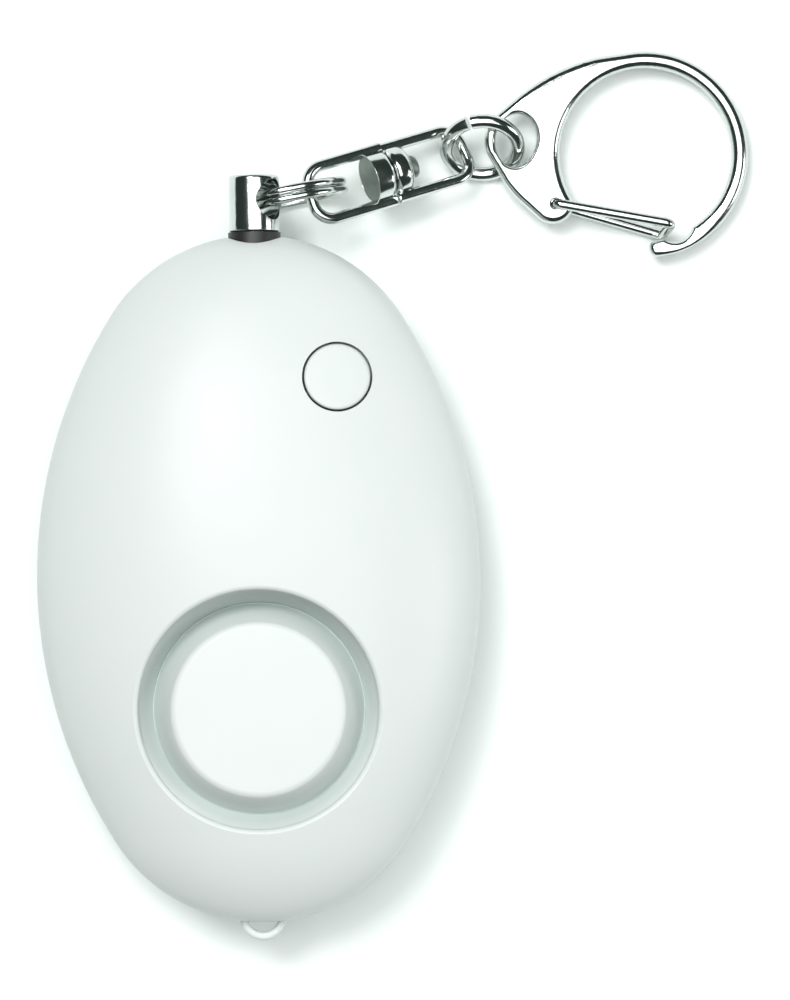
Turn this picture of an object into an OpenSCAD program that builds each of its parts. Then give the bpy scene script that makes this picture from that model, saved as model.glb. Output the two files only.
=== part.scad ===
// Personal safety alarm: an egg-shaped case with a pull pin, a push button, a sounder,
// and a short chain that ends in a snap hook. It lies on its flat back, front face up.
// +Y runs along the case towards the pin, +Z is the front, millimetres throughout.

/* [Case] */
// Length of the case
body_l = 60; // [58:0.5:68]
// Width of the case
body_w = 38.7; // [38:0.1:44]
// Radius of the two ends, seen from the front
end_r = 15; // [14.4:0.1:15.6]
// Height of the front half above the parting line
front_h = 9.6; // [9.4:0.1:12]
// Height of the parting line above the flat back
rear_h = 8.4; // [8.2:0.1:10]
// How far a rear half without its flat would go below that flat
flat_cut = 0.6; // [0.4:0.05:1]
// Wall thickness of both shells
wall = 1.6; // [1.3:0.1:1.7]
// Height of the lip that locates the two shells
lip_h = 0.8; // [0.5:0.1:1.2]
// Clearance between pieces that are put together by hand
fit = 0.1; // [0.05:0.01:0.15]

/* [Sounder] */
// Distance of the sounder below the middle of the case
sounder_y = 11.2; // [10.8:0.1:11.8]
// Radius of the recess at its rim
recess_r = 10.35; // [10.2:0.05:11]
// Radius of the opening that the cap fills
cap_r = 9.6; // [9.3:0.05:9.8]
// Radius of the flat middle of the cap
plateau_r = 7.4; // [6.6:0.1:7.8]
// Height of the flat middle above the parting line
plateau_h = 7.9; // [7.6:0.1:8.4]
// Height of the moat floor above the parting line
moat_h = 5.8; // [5.6:0.1:6.2]
// Thickness of the foam gasket
gasket_t = 0.5; // [0.4:0.1:0.8]
// Thickness of the brass disc
brass_t = 0.25; // [0.2:0.05:0.4]
// Thickness of the ceramic on the brass disc
ceramic_t = 0.2; // [0.15:0.05:0.3]
// Diameter of one sound hole in the back
sound_hole_d = 1.6; // [1.2:0.1:2]

/* [Button] */
// Sideways place of the button
button_x = 7.15; // [6.8:0.05:7.6]
// Place of the button along the case
button_y = 17.4; // [16.8:0.1:17.8]
// Diameter of the button
button_d = 5.7; // [5:0.1:6.2]
// Gap round the button
button_gap = 0.18; // [0.1:0.01:0.25]
// How far the button stands proud of the shell
button_proud = 0.12; // [0:0.02:0.3]
// Travel of the button
button_travel = 0.5; // [0.2:0.05:0.6]

/* [Cells] */
// Diameter of one button cell
cell_d = 11.6; // [11:0.1:11.8]
// Height of one button cell
cell_h = 5.4; // [4.8:0.1:5.6]
// Place of the cell stack along the case
cell_y = 5; // [4.8:0.1:5.4]

/* [Board] */
// Height of the underside of the circuit board above the flat back
board_z = 5.2; // [5.1:0.05:5.5]
// Thickness of the circuit board
board_t = 0.8; // [0.6:0.1:1]

/* [Pin] */
// Diameter of the pin head
head_d = 4.45; // [4.2:0.05:5]
// Length of the pin head
head_l = 4.95; // [4.8:0.05:6]
// Diameter of the hole through the head
head_hole_d = 3; // [2.9:0.05:3.2]
// Distance of that hole from the end of the head
head_hole_y = 2.15; // [2:0.05:2.4]
// Angle of that hole from the front towards the right
head_hole_turn = 52; // [40:1:60]
// Diameter of the pin's shaft
shaft_d = 2.5; // [2:0.1:3]
// Length of the pin's shaft
shaft_l = 13; // [11:0.5:13.5]
// How far the socket's nose stands out of the case
nose_out = 0.2; // [0.1:0.05:0.6]

/* [Chain] */
// Outer diameter of the split ring
ring_od = 9.95; // [9.6:0.05:10.2]
// Wire of the split ring
ring_wire = 0.75; // [0.6:0.05:0.8]
// Half the width of a swivel eye, at the middle of its wire
eye_half = 2.4; // [2.3:0.05:2.7]
// Wire of a swivel eye
eye_wire = 1; // [0.8:0.05:1.1]
// Length of a swivel eye, from its base to the middle of its end
eye_l = 5.7; // [5.5:0.05:6.2]
// Thickness of the base of a swivel eye
base_t = 1.85; // [1.6:0.05:2.2]
// Diameter of the base of a swivel eye
base_d = 4.3; // [4:0.1:4.6]
// Diameter of the rivet in the swivel
rivet_d = 1.4; // [1.2:0.1:1.6]
// Outer diameter of the jump ring
jump_od = 7.6; // [7.4:0.05:8]
// Wire of the jump ring
jump_wire = 1.25; // [1:0.05:1.3]

/* [Hook] */
// Outer radius of the round end of the hook
hook_r = 9.1; // [8.8:0.05:9.6]
// Radius of its opening
hook_open_r = 7.65; // [7.4:0.05:7.8]
// Thickness of the hook
hook_t = 1.6; // [1.4:0.05:1.7]
// Distance from the middle of the opening to the hook's eye
hook_eye_x = 11.55; // [11.2:0.05:11.8]
// Wire of the gate
gate_wire = 0.9; // [0.7:0.05:0.95]
// Running clearance of the gate in its hole
gate_gap = 0.1; // [0.06:0.01:0.14]

/* [Hidden] */
$fn = 64;
big = 60;

// Outline of the case: two end arcs and two side arcs that meet smoothly
half_l = body_l / 2;
half_w = body_w / 2;
end_c = half_l - end_r;
side_r = (half_w ^ 2 + end_c ^ 2 - end_r ^ 2) / (2 * (half_w - end_r));
side_off = side_r - half_w;
pole_cut = 0.05;
lip_gap = fit + 0.15;
lip_t = 0.75;
lip_root = 2.8;
rear_crown = rear_h + flat_cut;
function join_y(inset) = (side_r - inset) * end_c / norm([side_off, end_c]);
function half_width(y, inset) = abs(y) < join_y(inset)
  ? sqrt((side_r - inset) ^ 2 - y ^ 2) - side_off
  : sqrt(max(0, (end_r - inset) ^ 2 - (abs(y) - end_c) ^ 2));
// Height of a domed half above the parting line
function dome(x, y, inset, depth) =
  depth / (half_w - inset) * sqrt(max(0, half_width(y, inset) ^ 2 - x ^ 2));

// Sounder stack, from the cap down
flange_t = 1;
flange_r = cap_r + 0.8;
seat_h = moat_h - 0.7;
gasket_top = seat_h - flange_t;
disc_top = gasket_top - gasket_t;
disc_low = disc_top - brass_t;
disc_r = flange_r - 0.65;
well_r = recess_r + 1.3;
barrel_r = disc_r - 0.1;
barrel_wall = 1.1;

// Button and switch, heights above the flat back
board_top = board_z + board_t;
switch_w = 4.5;
switch_h = 3.8;
plunger_d = 2.4;
plunger_in = 0.8;
switch_top = board_top + switch_h;
button_low = switch_top + 1.2;
button_flange_t = 1;
button_flange_d = button_d + 1.5;
sleeve_low = button_low + button_flange_t + 0.15;
sleeve_d = button_d + 2.6;

// Cells and their contacts
cell_count = 3;
stack_l = cell_count * cell_h;
cell_z = rear_h - 0.5;
contact_t = 0.3;
contact_w = 8;
contact_h = 9;
spring_depth = 1.5;
cell_wall = 1.2;
cradle_x = 4;

// Board, its corner cut for the screw boss
board_left = 7.5;
board_right = 11;
board_slant = 9.8;
board_neck = 5.6;
board_end_gap = 8.2;

// Pin, socket and nose
head_base = half_l + nose_out + 0.05;
head_end = head_base + head_l;
nose_d = head_d + 0.15;
nose_end = half_l + nose_out;
socket_w = 5.6;
socket_half_h = rear_h - board_top;
socket_front = half_l - 3.5;
socket_back = head_base - shaft_l - 1.2;
bore_d = shaft_d + 2 * fit;
leaf_y = socket_back + 1.4;
leaf_l = 6.2;
leaf_h = 1.6;

// Fasteners
screw_d = 1.9;
screw_head_d = 3.6;
screw_head_h = 1.4;
screw_slot = [2.2, 0.5, 0.7];
boss_r = 2.2;
screw_seat = 5.1;
pilot_h = 4.2;
screw_l = rear_h + pilot_h - screw_seat - 0.3;
screw_side = 8.6;
screw_from_top = 10.4;
screw_from_foot = 5.4;
screw_at = [[-screw_side, half_l - screw_from_top], [0, screw_from_foot - half_l]];

// Loop for a cord at the foot of the case
cord_loop_r = 2.05;
cord_loop_bar = 0.7;
cord_loop_t = 1.2;
cord_loop_y = 0.4 - half_l;
cord_loop_z = rear_h - 1;

// Split ring, hanging from the hole in the pin head and turned to the right
hole_at = [0, head_end - head_hole_y, rear_h];
ring_r = (ring_od - ring_wire) / 2;
ring_pitch = ring_wire + 0.03;
ring_heading = 10.8;
ring_dip = 45.4;
ring_play = 0.1;
along_ring = [cos(ring_heading), sin(ring_heading), 0];
across_ring = [-sin(ring_heading), cos(ring_heading), 0];
ring_at = hole_at + (ring_r + ring_play) * (cos(ring_dip) * along_ring - [0, 0, sin(ring_dip)])
  - 0.1 * across_ring;

// Swivel: its inner eye is held by the split ring, its axis falls to the right
swivel_heading = 17;
swivel_fall = 20.5;
outer_roll = -16;
eye_bend = 1.7;
link_gap = 0.45;
ring_lean = 1.65;
eye_side = -0.6;
swivel_gap = 0.08;
swivel_axis = [cos(swivel_fall) * cos(swivel_heading), cos(swivel_fall) * sin(swivel_heading),
  -sin(swivel_fall)];
eye_reach = base_t + eye_l;
ring_roof = sqrt((ring_r - ring_wire / 2) ^ 2 - ring_lean ^ 2);
inner_end = ring_at + ring_lean * along_ring + eye_side * across_ring
  + [0, 0, ring_roof - eye_wire / 2 - link_gap];
swivel_at = inner_end + eye_reach * swivel_axis;
outer_end = swivel_at + eye_reach * swivel_axis;

// Jump ring through the outer eye, leaning on it
jump_r = (jump_od - jump_wire) / 2;
jump_tilt = 46;
jump_gap_turn = 6;
jump_at = outer_end + [1.56, 0.27, 0.25];

// Hook, lying almost flat, its eye on the far side of the jump ring
hook_heading = -8.6;
hook_fall = 3.5;
hook_edge = 0.6;
hook_eye_half = [1.8, 2.35];
hook_nose = [hook_eye_x - 0.15, 2.92];
// How far the eye lies below the middle of the opening
hook_eye_drop = 0.38;
// Upper and lower edges, each an arc: its middle, its radius and the discs along it
hook_back = [0.89, -8.22, 17.3];
hook_back_disc = 4;
hook_belly = [-6.06, 0.84, 7.85];
hook_belly_disc = 2;
hook_lobe = [0.1 - hook_open_r, 2.32 - hook_open_r, 1.9];
gate_at = [hook_lobe[0] + 0.2, hook_lobe[1] - 0.1];
gap_from = 217;
gap_to = 285;
tip_r = (hook_r - hook_open_r) / 2;
tip_at = (hook_open_r + tip_r) * [cos(gap_to), sin(gap_to)];
hook_x = [cos(hook_fall) * cos(hook_heading), cos(hook_fall) * sin(hook_heading), -sin(hook_fall)];
hook_y = [-sin(hook_heading), cos(hook_heading), 0];
hook_at = jump_at + [jump_r - 0.2, 0.6, 0] + hook_eye_x * hook_x + hook_eye_drop * hook_y;
gate_z = hook_t / 2 + gate_wire / 2 + 0.08;
gate_bend = 0.5;
gate_stub = 0.2;
gate_reach = [10.4, -0.35];
gate_back_reach = [9.95, -1.35];
gate_front_end = gate_at + gate_reach;
gate_rear_end = gate_at + gate_back_reach;
// Notch behind the hook's tip, where the gate comes to rest
notch_turn = gap_to + 15.5;
notch_r = 1.65;
// Metal left at the notch
notch_neck = 0.8;
notch_depth = hook_r - hook_open_r - notch_neck;
notch_at = (hook_open_r + notch_depth - notch_r) * [cos(notch_turn), sin(notch_turn)];

function unit(v) = v / norm(v);

module half_oval(inset) {
  y = join_y(inset);
  intersection() {
    translate([-side_off, 0]) circle(r = side_r - inset);
    translate([0, -y]) square([half_w, 2 * y]);
  }
  for (s = [0, 1]) mirror([0, s]) intersection() {
    translate([0, end_c]) circle(r = end_r - inset);
    translate([0, y]) square([half_w, half_l - inset - pole_cut - y]);
  }
}

module oval(inset) {
  for (s = [0, 1]) mirror([s, 0]) half_oval(inset);
}

// Solid of the case inside one skin: a revolved half outline, flattened to its depth
module pod(inset, depth, seam) {
  translate([0, 0, rear_h]) scale([1, 1, depth / (half_w - inset)])
    rotate([-90, 0, 0]) rotate(seam) rotate_extrude() half_oval(inset);
}

module front_pod(inset) {
  pod(inset, front_h - inset, 90);
}

module rear_pod(inset) {
  pod(inset, rear_crown - inset, -90);
}

module above(z) {
  translate([-big / 2, -big, z]) cube([big, 2 * big, big]);
}

module below(z) {
  translate([-big / 2, -big, z - big]) cube([big, 2 * big, big]);
}

module at_sounder(h) {
  translate([0, -sounder_y, rear_h + h]) children();
}

module ring_of(r_out, r_in, h) {
  difference() {
    cylinder(r = r_out, h = h);
    translate([0, 0, -1]) cylinder(r = r_in, h = h + 2);
  }
}

// Bar of round section between two points
module bar(p, q, d) {
  v = q - p;
  translate(p) rotate([0, acos(v[2] / norm(v)), atan2(v[1], v[0])]) cylinder(d = d, h = norm(v));
}

// Wire of round section along straight runs, with a round bend at each inner corner
module wire(corners, bend, d) {
  n = len(corners);
  runs = [for (i = [0:n - 2]) unit(corners[i + 1] - corners[i])];
  turns = [for (i = [0:n - 1]) i == 0 || i == n - 1 ? 0 : acos(runs[i - 1] * runs[i])];
  cuts = [for (t = turns) bend * tan(t / 2)];
  for (i = [0:n - 2])
    bar(corners[i] + runs[i] * cuts[i], corners[i + 1] - runs[i] * cuts[i + 1], d);
  for (i = [1:n - 2]) {
    from = corners[i] - runs[i - 1] * cuts[i];
    c = corners[i] + unit(runs[i] - runs[i - 1]) * bend / cos(turns[i] / 2);
    ex = unit(from - c);
    ey = runs[i - 1];
    ez = cross(ex, ey);
    multmatrix([[ex[0], ey[0], ez[0], c[0]], [ex[1], ey[1], ez[1], c[1]], [ex[2], ey[2], ez[2], c[2]]])
      rotate_extrude(angle = turns[i]) translate([bend, 0]) circle(d = d);
  }
}

// Front shell

module recess_cut() {
  bevel_h = recess_r - cap_r;
  at_sounder(0) {
    cylinder(r = cap_r, h = big);
    cylinder(r = flange_r + fit, h = seat_h);
    translate([0, 0, moat_h]) cylinder(r1 = cap_r, r2 = recess_r, h = bevel_h);
    translate([0, 0, moat_h + bevel_h]) cylinder(r = recess_r, h = big);
  }
}

module front_bosses() {
  at_sounder(gasket_top) cylinder(r = well_r, h = big);
  translate([button_x, button_y, sleeve_low]) cylinder(d = sleeve_d, h = big);
  for (p = screw_at) translate([p[0], p[1], rear_h + fit]) cylinder(r = boss_r, h = big);
}

module nose_cut() {
  translate([0, socket_front - 1, rear_h]) rotate([-90, 0, 0]) cylinder(d = nose_d + 2 * fit, h = big);
}

module front_wall() {
  difference() {
    intersection() {
      front_pod(0);
      above(rear_h);
    }
    front_pod(wall);
  }
}

module front_shell() {
  color("whitesmoke") difference() {
    union() {
      front_wall();
      intersection() {
        front_bosses();
        front_pod(0);
      }
    }
    recess_cut();
    translate([button_x, button_y, rear_h]) cylinder(d = button_d + 2 * button_gap, h = big);
    for (p = screw_at) translate([p[0], p[1], rear_h]) cylinder(d = screw_d + 2 * fit, h = pilot_h);
    nose_cut();
  }
}

// Rear shell

module rear_posts() {
  difference() {
    at_sounder(-rear_h) cylinder(r = barrel_r, h = rear_h + disc_low);
    at_sounder(-rear_h - 1) cylinder(r = barrel_r - barrel_wall, h = big);
    // Way through the barrel for the two leads
    at_sounder(disc_low - 4) translate([-2, 0, 0]) cube([4, big, big]);
  }
  for (p = screw_at) translate([p[0], p[1], 0]) cylinder(r = boss_r, h = rear_h);
  for (x = [-6.3, 9.4]) translate([x, cell_y + cell_d / 2 + 1.9, 0]) cylinder(d = 2.2, h = board_z);
  difference() {
    union() {
      for (s = [-1, 1]) translate([s * cradle_x - cell_wall / 2, cell_y - 5, 0]) cube([cell_wall, 10, 5]);
      translate([stack_l / 2 + contact_t + fit, cell_y - 5, 0]) cube([cell_wall, 10, cell_z + 4]);
      translate([-stack_l / 2 - spring_depth - fit - cell_wall, cell_y - 5, 0])
        cube([cell_wall, 10, cell_z + 4]);
    }
    cells(fit, 0);
  }
}

module cord_loop() {
  difference() {
    translate([0, cord_loop_y, cord_loop_z]) rotate_extrude()
      translate([cord_loop_r - cord_loop_bar, -cord_loop_t / 2]) square([cord_loop_bar, cord_loop_t]);
    translate([-big / 2, wall / 2 - half_l, 0]) cube([big, big, big]);
  }
}

// Three staggered rows of holes in the flat of the back, inside the sounder's barrel
module sound_holes() {
  step = 2.4;
  for (k = [0:2], i = [0:2 + k % 2])
    translate([(i - 1 - k % 2 / 2) * step, 2.6 - sounder_y + k * 0.92 * step, -1])
      cylinder(d = sound_hole_d, h = wall + 2, $fn = 24);
}

// Wall of the rear half with its lip, cut for the socket's nose
module rear_wall() {
  difference() {
    union() {
      difference() {
        intersection() {
          rear_pod(0);
          below(rear_h);
          above(0);
        }
        intersection() {
          rear_pod(wall);
          above(wall);
        }
        sound_holes();
      }
      translate([0, 0, rear_h - lip_root]) linear_extrude(lip_root + lip_h) difference() {
        oval(wall + lip_gap);
        oval(wall + lip_gap + lip_t);
      }
    }
    nose_cut();
  }
}

module rear_shell() {
  color("whitesmoke") difference() {
    union() {
      rear_wall();
      intersection() {
        rear_posts();
        union() {
          intersection() {
            rear_pod(wall / 2);
            above(wall / 2);
          }
          above(rear_h);
        }
      }
      cord_loop();
    }
    for (p = screw_at) {
      translate([p[0], p[1], -1]) cylinder(d = screw_d + 2 * fit, h = rear_h + 2);
      translate([p[0], p[1], -1]) cylinder(d = screw_head_d + 4 * fit, h = screw_seat + 1);
    }
  }
}

// Sounder

module sounder_cap() {
  skin = 1.2;
  foot = cap_r - 0.6;
  color("white") at_sounder(0) rotate_extrude() polygon([
    [0, plateau_h], [plateau_r - 0.4, plateau_h], [plateau_r, plateau_h - 0.2], [foot, moat_h + 0.3],
    [foot + 0.4, moat_h], [cap_r - fit, moat_h], [cap_r - fit, seat_h], [flange_r, seat_h],
    [flange_r, gasket_top], [plateau_r - 0.2, gasket_top], [plateau_r - skin, plateau_h - skin],
    [0, plateau_h - skin]
  ]);
}

module sounder_gasket() {
  color("dimgray") at_sounder(disc_top) ring_of(flange_r - fit, plateau_r + 0.2, gasket_t);
}

module sounder_disc() {
  color("goldenrod") at_sounder(disc_low) cylinder(r = disc_r, h = brass_t);
}

module sounder_ceramic() {
  color("lightgray") at_sounder(disc_low - ceramic_t)
    cylinder(r = barrel_r - barrel_wall - 1, h = ceramic_t);
}

// Two leads: out of the barrel, along the cells, round their end and on to the board
module sounder_leads() {
  d = 0.7;
  x = stack_l / 2 + contact_t + fit + cell_wall + 0.6;
  y = cell_y - cell_d / 2 - 0.45;
  far_y = cell_y + cell_d / 2 + 1.6;
  top = [rear_h + disc_low, rear_h + disc_low - ceramic_t];
  drop = [2, 3.1];
  start_y = [barrel_r - barrel_wall - sounder_y - 0.45, barrel_r - barrel_wall - sounder_y - 2.6];
  color("firebrick") for (i = [0, 1]) wire([
    [1 - 2 * i, start_y[i], top[i]], [1 - 2 * i, start_y[i], top[0] - drop[i]],
    [1 - 2 * i, y, top[0] - drop[i]], [x, y, top[0] - drop[i]], [x, far_y + 1.4 * (1 - i), top[0] - drop[i]],
    [x, far_y + 1.4 * (1 - i), board_top]
  ], 0.6, d);
}

// Button and switch

module push_button() {
  color("white") {
    intersection() {
      translate([button_x, button_y, button_low + button_flange_t / 2]) cylinder(d = button_d, h = big);
      pod(0, front_h + button_proud, 90);
    }
    translate([button_x, button_y, button_low]) cylinder(d = button_flange_d, h = button_flange_t);
  }
}

module switch_plunger() {
  color("dimgray") translate([button_x, button_y, switch_top - plunger_in])
    cylinder(d = plunger_d, h = button_low - switch_top + plunger_in);
}

module switch_base() {
  color("black") difference() {
    translate([button_x - switch_w / 2, button_y - switch_w / 2, board_top])
      cube([switch_w, switch_w, switch_h]);
    translate([button_x, button_y, switch_top - plunger_in - button_travel - 0.2])
      cylinder(d = plunger_d + 2 * fit, h = big);
  }
}

// Electronics

module circuit_board() {
  y0 = cell_y + cell_d / 2 + 0.8;
  y1 = half_l - board_end_gap;
  color("darkgreen") translate([0, 0, board_z]) linear_extrude(board_t) polygon([
    [-board_left, y0], [board_right, y0], [board_right, y0 + 4.4], [board_slant, y1 - 1.9], [board_left, y1],
    [-board_neck, y1], [-board_neck, y1 - 4], [-board_left, y1 - board_neck]
  ]);
}

module driver_chip() {
  chip = [3.8, 3, 1.4];
  leg = [0.4, 0.9, 0.25];
  at = [-5.1, cell_y + cell_d / 2 + 3.4, board_top];
  color("dimgray") translate(at) {
    translate([-chip[0] / 2, -chip[1] / 2, 0.1]) cube(chip);
    for (s = [-1, 1], i = [0:3])
      translate([(i - 1.5) * 0.9 - leg[0] / 2, s * (chip[1] / 2 + 0.3) - leg[1] / 2, 0]) cube(leg);
  }
}

module step_up_coil() {
  r = 2.1;
  h = 4.6;
  rim = 0.8;
  color("peru") translate([1, cell_y + cell_d / 2 + 3.1, board_top]) rotate_extrude() polygon([
    [0, 0], [r, 0], [r, rim], [r - 0.35, rim], [r - 0.35, h - rim], [r, h - rim], [r, h], [0, h]
  ]);
}

// Row of cells across the case; room widens each cell, trim shortens it at both ends
module cells(room, trim) {
  for (i = [0:cell_count - 1]) translate([i * cell_h - stack_l / 2 + trim, cell_y, cell_z])
    rotate([0, 90, 0]) cylinder(d = cell_d + 2 * room, h = cell_h - 2 * trim);
}

module button_cells() {
  color("silver") cells(0, 0.02);
}

module positive_contact() {
  color("silver") translate([stack_l / 2 + fit / 2, cell_y - contact_w / 2, cell_z - contact_h / 2])
    cube([contact_t, contact_w, contact_h]);
}

module negative_contact() {
  bow_r = 8;
  back = -stack_l / 2 - spring_depth - fit / 2;
  front = -stack_l / 2 - fit / 2;
  color("silver") {
    translate([back, cell_y - contact_w / 2, cell_z - contact_h / 2])
      cube([contact_t, contact_w, contact_h]);
    intersection() {
      translate([front - bow_r, cell_y + contact_w / 4, cell_z]) rotate([90, 0, 0])
        ring_of(bow_r, bow_r - contact_t, contact_w / 2);
      translate([back + contact_t / 2, cell_y - contact_w, cell_z - contact_h / 2])
        cube([spring_depth, 2 * contact_w, contact_h]);
    }
  }
}

// Pin socket

module pin_socket() {
  color([0.08, 0.09, 0.1]) difference() {
    union() {
      translate([-socket_w / 2, socket_back, rear_h - socket_half_h])
        cube([socket_w, socket_front - socket_back, 2 * socket_half_h]);
      translate([0, socket_front, rear_h]) rotate([-90, 0, 0])
        cylinder(d = nose_d, h = nose_end - socket_front);
    }
    translate([0, head_base - shaft_l - 0.5, rear_h]) rotate([-90, 0, 0]) cylinder(d = bore_d, h = big);
    translate([-bore_d / 2 - contact_t - fit, leaf_y - 0.2, rear_h - leaf_h / 2 - 0.2])
      cube([contact_t + fit + bore_d / 2, leaf_l + 0.4, leaf_h + 0.4]);
  }
}

module socket_contact() {
  color("goldenrod") translate([-bore_d / 2 - contact_t - fit / 2, leaf_y, rear_h - leaf_h / 2])
    cube([contact_t, leaf_l, leaf_h]);
}

// Case screws: pan heads with a cross recess

module case_screws() {
  color("silver") for (p = screw_at) translate([p[0], p[1], screw_seat]) difference() {
    union() {
      translate([0, 0, -screw_head_h]) cylinder(d1 = screw_head_d - 0.6, d2 = screw_head_d, h = screw_head_h);
      cylinder(d = screw_d, h = screw_l);
    }
    for (a = [0, 90]) rotate(a) translate([-screw_slot[0] / 2, -screw_slot[1] / 2, -screw_head_h - 0.1])
      cube(screw_slot);
  }
}

// Pull pin: chrome head with a cross hole, and a shaft that opens the socket's switch

module pull_pin() {
  edge = 0.2;
  r = head_d / 2;
  s = shaft_d / 2;
  color("silver") difference() {
    translate([0, head_base, rear_h]) rotate([-90, 0, 0]) rotate_extrude() polygon([
      [0, -shaft_l], [s - 0.7, -shaft_l], [s, 1 - shaft_l], [s, 3 - shaft_l], [s - 0.25, 3.3 - shaft_l],
      [s - 0.25, 3.7 - shaft_l], [s, 4 - shaft_l], [s, 0], [r - edge, 0], [r, edge], [r, head_l - edge],
      [r - edge, head_l], [0, head_l]
    ]);
    translate(hole_at) rotate([0, head_hole_turn, 0]) {
      cylinder(d = head_hole_d, h = big, center = true);
      for (a = [0, 180]) rotate([a, 0, 0]) translate([0, 0, r - 0.55])
        cylinder(d1 = head_hole_d, d2 = head_hole_d + 0.8, h = 0.6);
    }
  }
}

// Split ring: almost two turns of wire side by side, joined by one crossing

module turn(from, to, z) {
  translate([0, 0, z]) rotate(from) rotate_extrude(angle = to - from) translate([ring_r, 0])
    circle(d = ring_wire);
}

module split_ring() {
  cross_turn = 15;
  cut_turn = 28;
  z = ring_pitch / 2;
  reach = cross_turn + 3;
  color("silver") translate(ring_at) rotate([0, 0, ring_heading]) rotate([90, 0, 0]) rotate(200) {
    turn(cut_turn, 360 - cross_turn, -z);
    turn(cross_turn, 360 - cut_turn, z);
    bar([ring_r * cos(reach), -ring_r * sin(reach), -z], [ring_r * cos(reach), ring_r * sin(reach), z],
      ring_wire * 0.9);
  }
}

// Swivel: two eyes on one rivet

module swivel_frame() {
  translate(swivel_at) rotate([0, swivel_fall, swivel_heading]) children();
}

// One eye, its base from the swivel's middle outwards along +X
module swivel_eye(bore) {
  leg_l = eye_reach - eye_bend;
  difference() {
    union() {
      for (s = [-1, 1]) translate([swivel_gap / 2, s * eye_half, 0]) rotate([0, 90, 0])
        cylinder(d = eye_wire, h = leg_l - swivel_gap / 2);
      for (s = [0, 1]) mirror([0, s, 0]) translate([leg_l, eye_half - eye_bend, 0])
        rotate_extrude(angle = 90) translate([eye_bend, 0]) circle(d = eye_wire);
      translate([eye_reach, eye_bend - eye_half, 0]) rotate([-90, 0, 0])
        cylinder(d = eye_wire, h = 2 * (eye_half - eye_bend));
      translate([swivel_gap / 2, 0, 0]) rotate([0, 90, 0]) cylinder(d = base_d, h = base_t - swivel_gap / 2);
      translate([swivel_gap / 2, -eye_half, -eye_wire * 0.4])
        cube([base_t - swivel_gap / 2, 2 * eye_half, eye_wire * 0.8]);
    }
    rotate([0, 90, 0]) cylinder(d = bore, h = 2 * base_t + 1, center = true);
  }
}

module swivel_inner_eye() {
  color("silver") swivel_frame() mirror([1, 0, 0]) difference() {
    swivel_eye(rivet_d + 0.04);
    translate([base_t - 0.45, 0, 0]) rotate([0, 90, 0]) cylinder(d = base_d - 0.2 + 0.04, h = 1);
  }
}

module swivel_outer_eye() {
  color("silver") swivel_frame() rotate([outer_roll, 0, 0]) swivel_eye(rivet_d + 2 * fit);
}

module swivel_rivet() {
  head_t = 0.4;
  tail_r = rivet_d / 2 + 0.3;
  tail_l = 0.9;
  color("silver") swivel_frame() rotate([0, 90, 0]) rotate_extrude() polygon([
    [0, -base_t], [base_d / 2 - 0.1, -base_t], [base_d / 2 - 0.1, head_t - base_t], [rivet_d / 2, head_t - base_t],
    [rivet_d / 2, base_t + 0.06], [tail_r, base_t + 0.06], [tail_r, base_t + tail_l - 0.25],
    [tail_r - 0.25, base_t + tail_l], [0, base_t + tail_l]
  ]);
}

// Jump ring, cut once

module jump_ring() {
  color("silver") translate(jump_at) rotate([jump_tilt, 0, 0]) rotate(110 + jump_gap_turn / 2)
    rotate_extrude(angle = 360 - jump_gap_turn) translate([jump_r, 0]) circle(d = jump_wire);
}

// Snap hook: a rounded plate with a round opening, an eye, and a gap that the gate closes

module hook_frame() {
  translate(hook_at) rotate([0, hook_fall, hook_heading]) children();
}

module rounded_disc(r) {
  edge = min(hook_edge, r - 0.05);
  flat = hook_t / 2 - edge;
  rotate_extrude() intersection() {
    union() {
      translate([0, -hook_t / 2]) square([r - edge, hook_t]);
      translate([0, -flat]) square([r, 2 * flat]);
      for (s = [-1, 1]) translate([r - edge, s * flat]) circle(r = edge, $fn = 24);
    }
    translate([0, -hook_t]) square([r, 2 * hook_t]);
  }
}

// Cutter for a round hole whose two edges are rounded
module soft_hole(r, edge) {
  flat = hook_t / 2 - edge;
  rotate_extrude() {
    translate([0, -hook_t]) square([r, 2 * hook_t]);
    for (s = [0, 1]) mirror([0, s]) difference() {
      translate([r - 0.01, flat]) square([edge + 0.01, hook_t]);
      translate([r + edge, flat]) circle(r = edge, $fn = 32);
    }
  }
}

// Disc inside one of the edge arcs, touching it at one angle
module discs_along(arc, a, r) {
  translate([arc[0] + (arc[2] - r) * cos(a), arc[1] + (arc[2] - r) * sin(a), 0]) rounded_disc(r, $fn = 40);
}

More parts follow.
